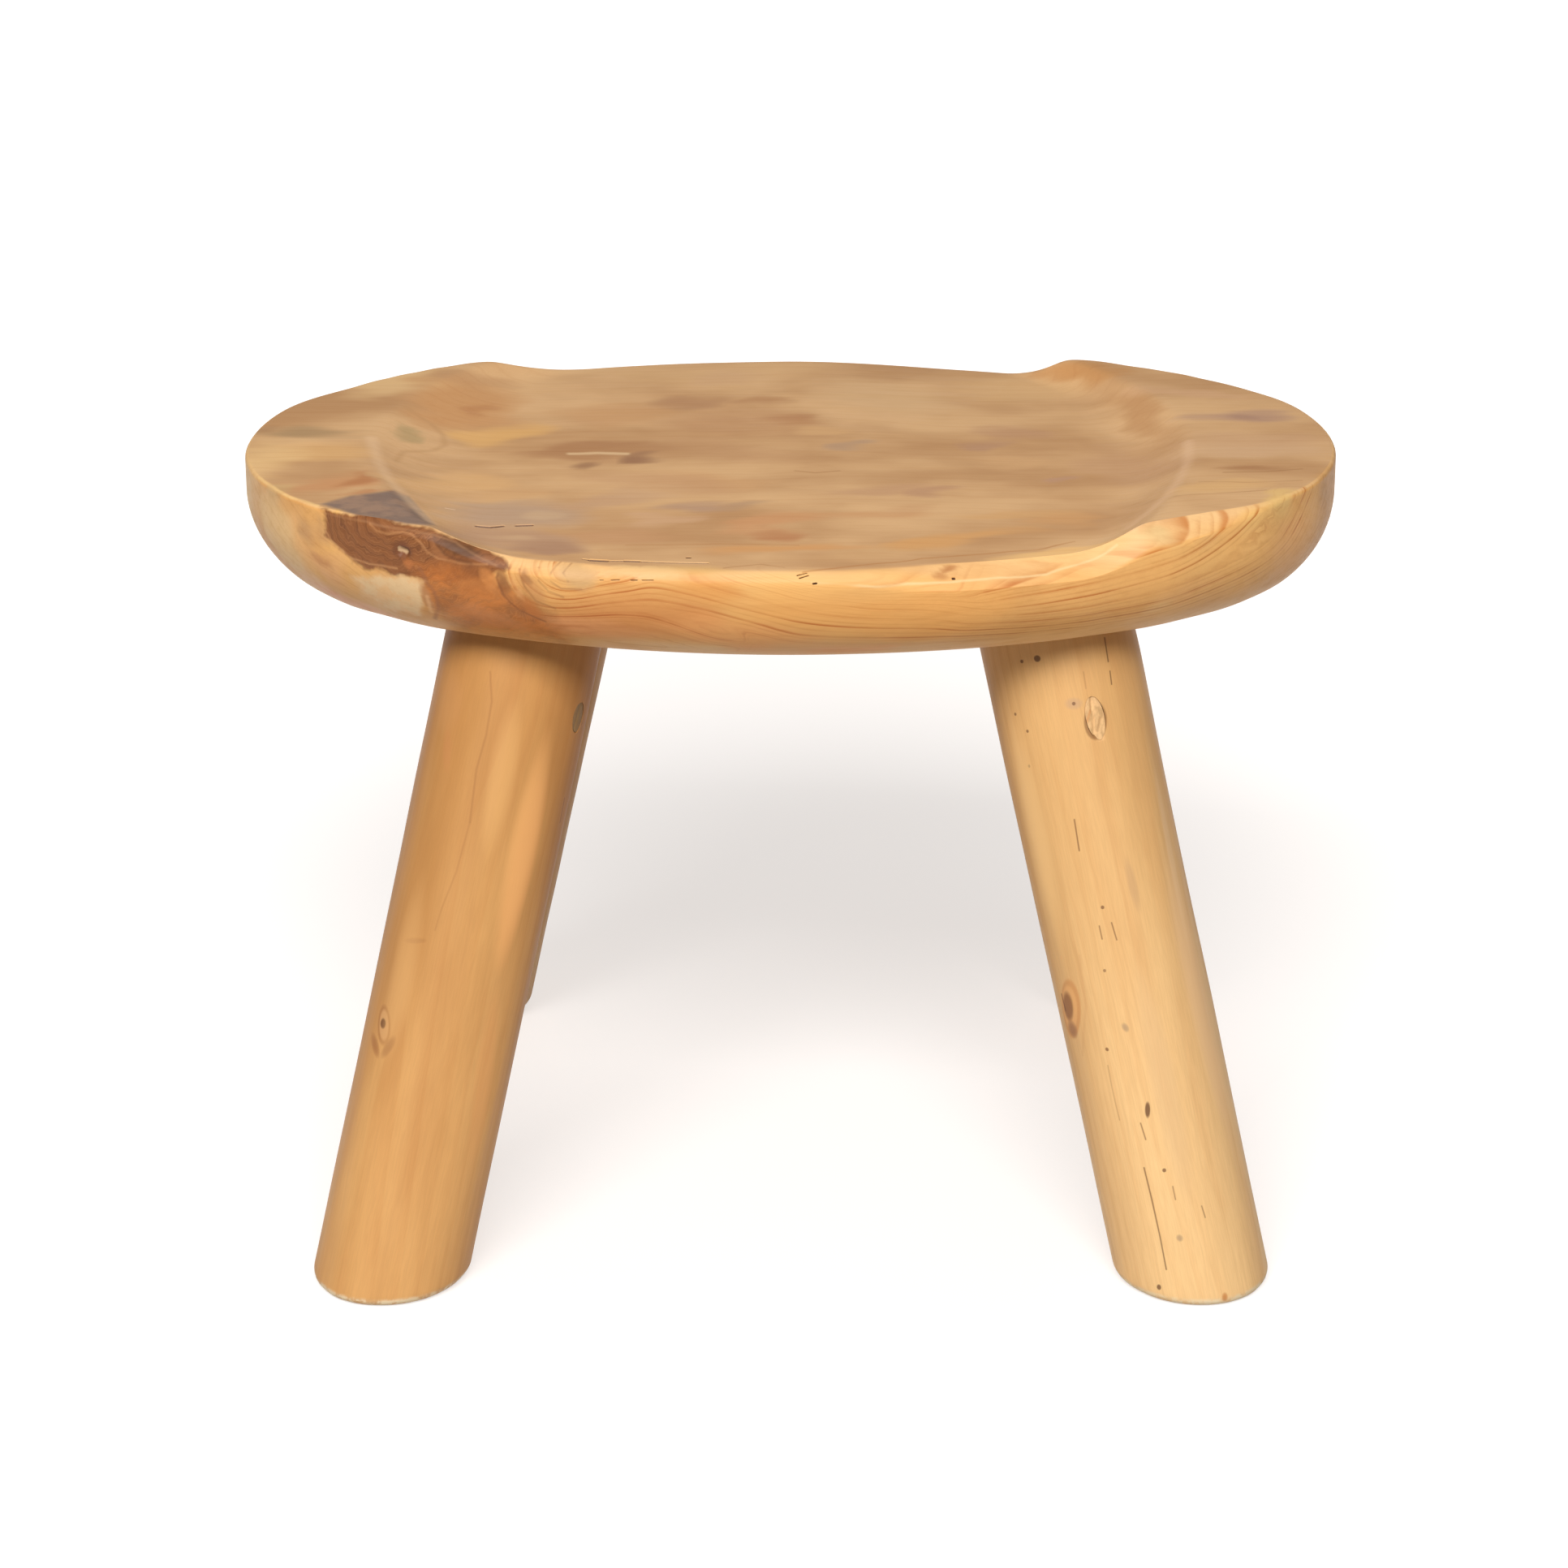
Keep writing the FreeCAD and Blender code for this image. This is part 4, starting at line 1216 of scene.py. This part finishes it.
def seat_finish(ground):
    """Teak-coloured wood with its grain along the seat."""
    finish, graph, shader = new_finish("seat_wood")
    place = graph.place_in_mm()
    across = graph.parts(place)[0]
    shift, near, outward = graph.parts(graph.stored("grain")["Vector"])
    flank = graph.step(outward, 0.14, 0.4)

    # growth lines: straight ones that drift, led along the guide lines where these are near
    drift = graph.speckle(place, (0.006, 0.016, 0.016), 3, 0.55)
    sway = graph.vector("SUBTRACT", drift["Color"], (0.5, 0.5, 0.5))
    sway = graph.scaled(sway, graph.step(near, 0, 0.6, 1, 0.2))
    bent = graph.vector("ADD", place, graph.vector("MULTIPLY", sway, (60, 18, 18)))
    count = graph.math("ADD", graph.vector("DOT_PRODUCT", bent, GRAIN_RATE), shift)
    rings = graph.group(RINGS, Count=count, Place=place, Line_share=0.22)
    twins = graph.group(RINGS, Count=graph.times(count, 2.3), Place=place, Line_share=0.4)

    # broad tones of the top, the bevel and the side, and the stains with some painted shade
    puff = graph.speckle(bent, (0.015, 0.026, 0.026), 3, 0.5)[0]
    cloud = graph.math("MULTIPLY_ADD", puff, 0.6, graph.times(drift[0], 0.5))
    cloud = graph.step(cloud, 0.4, 0.7)
    above = graph.mix(cloud, tone(198, 150, 103), tone(227, 182, 131))
    aside = graph.mix(cloud, tone(222, 162, 94), tone(243, 186, 113))
    bevel = graph.mix(cloud, tone(230, 177, 114), tone(243, 197, 138))
    aside = graph.mix(graph.step(outward, 0.62, 0.86), bevel, aside)
    colour = lay_stain_and_shade(graph, graph.mix(flank, above, aside))

    # the growth lines show on the side and near the guide lines
    shown = graph.math("MAXIMUM", graph.step(near, 0.25, 0.9, 0, 0.78),
                       graph.step(outward, 0.45, 0.9, 0.08, 0.36))
    shown = graph.times(shown, graph.step(across, -195, -145, 0.4, 1))
    line = graph.times(rings["Line"], graph.step(flank, 0, 1, 0.1, shown))
    colour = graph.tint(line, colour, 208, 156, 108)
    line = graph.times(twins["Line"], graph.times(shown, graph.step(flank, 0, 1, 0.03, 0.45)))
    colour = graph.tint(line, colour, 216, 172, 132)

    # single marks, painted edge highlights, fine fibres and the dark inside of cracks
    colour = add_burl(graph, colour, place, ground, flank)
    for lines in (TOP_LINES, FRONT_EDGE_HIGHLIGHTS):
        colour = add_strokes(graph, colour, bent_lines(graph, place), ground, lines)
    fibre = graph.group(FIBRE, Place=place)
    streak = graph.times(graph.step(fibre["Streak"], 0.45, 0.75),
                         graph.step(flank, 0, 1, 0.1, 0.25))
    colour = graph.tint(streak, colour, 228, 212, 198)
    colour = graph.tint(graph.step(fibre["Fine"], 0.35, 0.65, 0.12, 0), colour, 228, 216, 204)
    crack = graph.step(graph.stored("crack")["Fac"], 0.05, 0.45)
    colour = graph.mix(crack, colour, tone(84, 48, 28))
    roughness = graph.step(fibre["Streak"], 0.3, 0.7, 0.44, 0.54)
    wood_shader(graph, shader, colour, graph.times(fibre["Fine"], 0.6), roughness)
    return finish


# Marks on the two front legs, spots and lines as on the seat, and paler strips of painted light
# down their sides
LEG_SPOTS = {
    "front_left": (
        (552, 892, 550, 954, 3, 0.6, 202, 138, 82),
        (498, 1159, 526, 1159, 1.6, 0.6, 180, 122, 70),
        (674, 950, 614, 1201, 6.5, 0.5, 212, 148, 90),
        # painted light: a paler strip down the leg's right side, where its shading falls off
        (676, 900, 612, 1200, 8, 0.8, 226, 166, 102),
        (612, 1210, 580, 1450, 6, 0.4, 206, 144, 86),
        (473, 1243, 473, 1283, 4.4, 0.65, 172, 112, 62, 0.55),
        (473, 1247, 473, 1279, 3.2, 0.7, 222, 168, 110, 0.5),
        (459, 1274, 466, 1302, 2.6, 0.75, 164, 106, 60),
        (486, 1278, 471, 1302, 2.6, 0.75, 164, 106, 60),
        (472, 1257, 472, 1265, 2, 0.9, 104, 62, 34, 0.3),
        (640, 1300, 655, 1300, 3, 0.5, 190, 126, 74),
        (560, 830, 548, 900, 8, 0.4, 206, 148, 92),
        (636, 860, 600, 1060, 7, 0.45, 238, 182, 114),
        (520, 1080, 470, 1330, 8, 0.4, 236, 180, 116),
        (430, 1480, 560, 1560, 7, 0.5, 240, 184, 116),
    ),
    "front_right": (
        (1276, 811, 1280, 812, 1.6, 0.85, 92, 58, 34, 0.4),
        (1258, 815, 1260, 815, 0.9, 0.8, 104, 66, 40, 0.3),
        (1315, 867, 1331, 867, 3, 0.5, 198, 158, 128),
        (1322, 867, 1324, 867, 0.9, 0.8, 128, 88, 60, 0.3),
        (1251, 879, 1251, 881, 0.8, 0.8, 120, 80, 50, 0.3),
        (1266, 900, 1266, 902, 0.8, 0.8, 124, 82, 52, 0.3),
        (1268, 943, 1268, 945, 0.8, 0.8, 124, 82, 52, 0.3),
        (1358, 1117, 1359, 1119, 0.9, 0.8, 128, 84, 52, 0.3),
        (1361, 1195, 1361, 1197, 0.8, 0.7, 140, 96, 62, 0.3),
        (1384, 1262, 1389, 1270, 1.6, 0.6, 170, 136, 108),
        (1363, 1292, 1365, 1294, 0.9, 0.8, 128, 84, 52, 0.3),
        (1414, 1358, 1414, 1377, 1.3, 0.85, 106, 66, 40, 0.3),
        (1434, 1441, 1435, 1443, 1.0, 0.8, 120, 78, 48, 0.3),
        (1452, 1523, 1455, 1528, 1.6, 0.6, 168, 136, 108),
        (1428, 1584, 1428, 1588, 1.2, 0.85, 110, 70, 44, 0.3),
        (1318, 1216, 1320, 1270, 7, 0.8, 186, 130, 78, 0.7),
        (1317, 1221, 1319, 1264, 5.6, 0.75, 212, 160, 102, 0.6),
        (1315, 1226, 1317, 1254, 4.3, 0.9, 128, 84, 50, 0.3),
        (1319, 1262, 1324, 1274, 4.2, 0.85, 140, 96, 64),
        (1350, 872, 1350, 904, 5.2, 0.75, 146, 100, 58, 0.7),
        (1509, 1594, 1509, 1602, 1.6, 0.8, 204, 130, 66),
        (1420, 934, 1467, 1181, 3, 0.4, 204, 172, 134),
        (1387, 1055, 1404, 1126, 2.6, 0.5, 204, 158, 112),
        # painted light: a paler strip down the leg's left side
        (1246, 880, 1310, 1190, 9, 0.9, 253, 204, 138),
        # painted light: a paler strip down the leg's right side, for the flatter side light
        (1434, 1040, 1520, 1420, 9, 0.8, 228, 184, 134),
        (1400, 1180, 1470, 1500, 7, 0.4, 236, 194, 142),
    ),
}
LEG_LINES = {
    "front_left": (
        (((604, 828), (606, 864), (599, 906), (587, 948), (579, 1013)), 0.8, 0.5, (176, 118, 66)),
        (((579, 1013), (562, 1075), (544, 1120), (536, 1146)), 0.7, 0.4, (184, 126, 72)),
        (((695.6, 984), (690, 1013)), 0.7, 0.85, (96, 58, 32)),
    ),
    "front_right": (
        (((1361, 786), (1365.5, 815)), 0.6, 0.8, (104, 64, 38)),
        (((1367.7, 827), (1369.6, 843)), 0.55, 0.8, (104, 66, 40)),
        (((1335, 828), (1338, 848)), 0.55, 0.3, (150, 104, 66)),
        (((1323.8, 1010), (1329.8, 1048)), 0.6, 0.8, (130, 84, 50)),
        (((1354.5, 1141), (1358, 1157)), 0.55, 0.75, (134, 88, 54)),
        (((1369.6, 1137), (1376, 1158)), 0.55, 0.75, (134, 88, 54)),
        (((1405.4, 1384), (1411.7, 1404)), 0.55, 0.75, (134, 88, 54)),
        (((1409.7, 1439), (1419.7, 1480), (1429.8, 1526), (1437, 1564)), 0.6, 0.8,
         (116, 74, 44)),
        (((1445, 1462), (1448.4, 1478)), 0.5, 0.7, (140, 94, 60)),
        (((1480.6, 1486), (1485, 1500)), 0.5, 0.7, (140, 94, 60)),
        (((1308, 1225), (1313, 1245)), 0.7, 0.85, (92, 56, 34)),
        (((1365, 1313), (1370, 1340), (1375, 1362), (1379.5, 1380)), 0.5, 0.5, (170, 120, 78)),
        (((1308, 1180), (1300, 1240), (1312, 1300)), 1.2, 0.35, (206, 150, 98)),
        (((1330, 1178), (1338, 1240), (1334, 1300)), 1.2, 0.3, (206, 152, 100)),
    ),
}


# Wood of each leg: light tone, dark tone and the tint of painted shade towards the seat
LEG_TONES = {
    "front_left": ((234, 178, 111), (213, 155, 92), (220, 210, 196)),
    "front_right": ((253, 208, 146), (244, 196, 134), (230, 220, 206)),
    # the rear left leg's tones are raised a little as painted light, for the wide light that
    # reaches it
    "rear_left": ((250, 200, 134), (234, 178, 112), (232, 226, 216)),
    "rear_right": ((240, 190, 128), (224, 170, 108), (236, 230, 222)),
}


def leg_finish(name, place, seed, ground):
    """Paler pole wood with its grain along the leg, painted shade darker towards the seat, pale at
    the foot.
    """
    light, dark, upper = LEG_TONES[name]
    finish, graph, shader = new_finish(f"{name}_leg_wood")
    here = graph.place_in_mm()
    sources = {"Vector": here, "Location": place.where.to_translation(),
               "Rotation": place.where.to_euler()}
    mapped = graph.add("ShaderNodeMapping", sources, vector_type="TEXTURE")
    x, y, z = graph.parts(mapped.outputs[0])
    joined = graph.add("ShaderNodeCombineXYZ", [graph.math("ADD", z, 400 * seed), x, y])
    along = joined.outputs[0]
    drift = graph.speckle(along, (0.005, 0.03, 0.03), 3, 0.55)[0]
    colour = graph.mix(graph.step(drift, 0.35, 0.68), tone(*light), tone(*dark))
    sway = graph.speckle(along, (0.0022, 0.014, 0.014))[0]
    count = graph.math("MULTIPLY_ADD", sway, 7, graph.times(x, 0.16))
    rings = graph.group(RINGS, Count=count, Place=along, Line_share=0.55)
    colour = graph.tint(graph.times(rings["Line"], 0.14), colour, 222, 184, 148)
    # painted shade: the leg grows darker towards the seat, which shades its top
    colour = graph.tint(graph.step(z, 30, 250), colour, *upper)
    fibre = graph.group(FIBRE, Place=along)
    colour = graph.mix(graph.step(fibre["Streak"], 0.5, 0.8, 0, 0.2), colour, tone(200, 140, 82))
    colour = graph.mix(graph.step(fibre["Fine"], 0.35, 0.65, 0.1, 0), colour, tone(160, 110, 62))
    torn = graph.step(graph.cloud(here, 0.22), 0.38, 0.56, 0.2, 0.9)
    foot = graph.step(graph.parts(here)[2], 4.6, 2.4)
    colour = graph.cover(foot, torn, colour, tone(255, 234, 194))
    if name in LEG_SPOTS:
        colour = add_blots(graph, colour, here, ground, LEG_SPOTS[name])
        colour = add_strokes(graph, colour, here, ground, LEG_LINES[name])
    roughness = graph.step(fibre["Streak"], 0.3, 0.7, 0.46, 0.56)
    wood_shader(graph, shader, colour, graph.times(fibre["Fine"], 0.5), roughness)
    return finish


# Lines on the two plugs that show
PLUG_LINES = {
    "front_right": (
        (((1358, 869), (1355, 884), (1352, 900), (1350, 912)), 1, 0.6, (176, 128, 78)),
        (((1343, 876), (1339, 890), (1340, 904), (1347, 915)), 0.9, 0.7, (138, 94, 54)),
        (((1348, 884), (1346, 900)), 0.8, 0.4, (190, 146, 96)),
    ),
    "front_left": (
        (((706, 872), (704, 888), (707, 902)), 0.8, 0.6, (104, 76, 46)),
    ),
}


def plug_finish(name, shade, ground):
    """Greenish wood of a dowel's end."""
    finish, graph, shader = new_finish(f"{name}_plug_wood")
    place = graph.place_in_mm()
    grain = graph.speckle(place, (0.5, 0.5, 0.16), 3, 0.6)[0]
    colour = graph.mix(graph.step(grain, 0.35, 0.7, 0, 0.5), tone(*shade), tone(150, 112, 66))
    colour = add_strokes(graph, colour, place, ground, PLUG_LINES.get(name, ()))
    wood_shader(graph, shader, colour, grain, 0.55)
    return finish


def steel_finish():
    """Dull zinc-plated steel with faint turning marks."""
    finish, graph, shader = new_finish("screw_steel")
    grain = graph.cloud(graph.place_in_mm(), 1.2)
    colour = graph.mix(grain, tone(168, 168, 164), tone(205, 205, 200))
    graph.feed(shader["Base Color"], colour)
    shader["Metallic"].default_value = 1
    graph.feed(shader["Roughness"], graph.step(grain, 0.3, 0.7, 0.28, 0.44))
    graph.relief(shader, grain, 0.2, 0.05)
    return finish


def lay_floor():
    """A wide pale floor that shows white and keeps the stool's shadow."""
    mesh = bmesh.new()
    bmesh.ops.create_grid(mesh, x_segments=1, y_segments=1, size=12)
    data = bpy.data.meshes.new("floor")
    mesh.to_mesh(data)
    floor = bpy.data.objects.new("floor", data)
    bpy.context.scene.collection.objects.link(floor)
    finish, graph, shader = new_finish("pale_floor")
    rays = graph.add("ShaderNodeLightPath")
    seen = graph.math("ADD", rays.outputs["Is Camera Ray"], rays.outputs["Is Glossy Ray"])
    seen = graph.math("ADD", seen, rays.outputs["Is Transmission Ray"], clamp=True)
    graph.feed(shader["Base Color"],
               graph.mix(seen, (0.46, 0.445, 0.43, 1), (0.44, 0.43, 0.42, 1)))
    shader["Roughness"].default_value = 0.9
    shader["Specular IOR Level"].default_value = 0
    shader["Emission Color"].default_value = (1, 0.955, 0.925, 1)
    away = graph.vector("LENGTH", graph.vector("MULTIPLY", graph.place_in_mm(), (2.6, 1, 1)))
    glow = graph.step(away, 260, 1300, 0.66, 1)
    graph.feed(shader["Emission Strength"], graph.times(seen, glow))
    data.materials.append(finish)


# Making

bpy.context.scene.view_settings.view_transform = "Standard"
camera = set_camera()
set_light()
lay_floor()

places = {name: LegPlace(name) for name in LEGS}
seat = shape_seat()
seat_ground = Ground(seat)
cutters = []
for place in places.values():
    cutters += [socket_cutter(place), pilot_cutter(place)]
cut_out(seat, cutters)
carve(seat, seat_ground, SEAT_CRACKS)
stain_and_shade(seat, seat_ground, TOP_SPOTS + FRONT_SPOTS)
lead_grain(seat, seat_ground, GRAIN_GUIDES)
finish_piece(seat, "seat_slab", seat_finish(seat_ground), "seat")

for seed, (name, place) in enumerate(places.items(), 1):
    furrow, shade = (1, (236, 190, 134)) if "right" in name else (0.35, (150, 120, 82))
    leg = shape_leg(place, seed)
    plug = shape_plug(place, leg, furrow)
    finish = leg_finish(name, place, seed, Ground(leg))
    cut_out(leg, [bore_cutter(place, 0.12)])
    finish_piece(leg, f"{name}_pole", finish, f"{name}_leg")
    finish_piece(plug, f"{name}_dowel", plug_finish(name, shade, Ground(plug)),
                 f"{name}_plug")
steel = steel_finish()
for name in LEGS:
    screw = frame["nodes"][f"{name}_screw"]
    screw.data.materials.clear()
    screw.data.materials.append(steel)
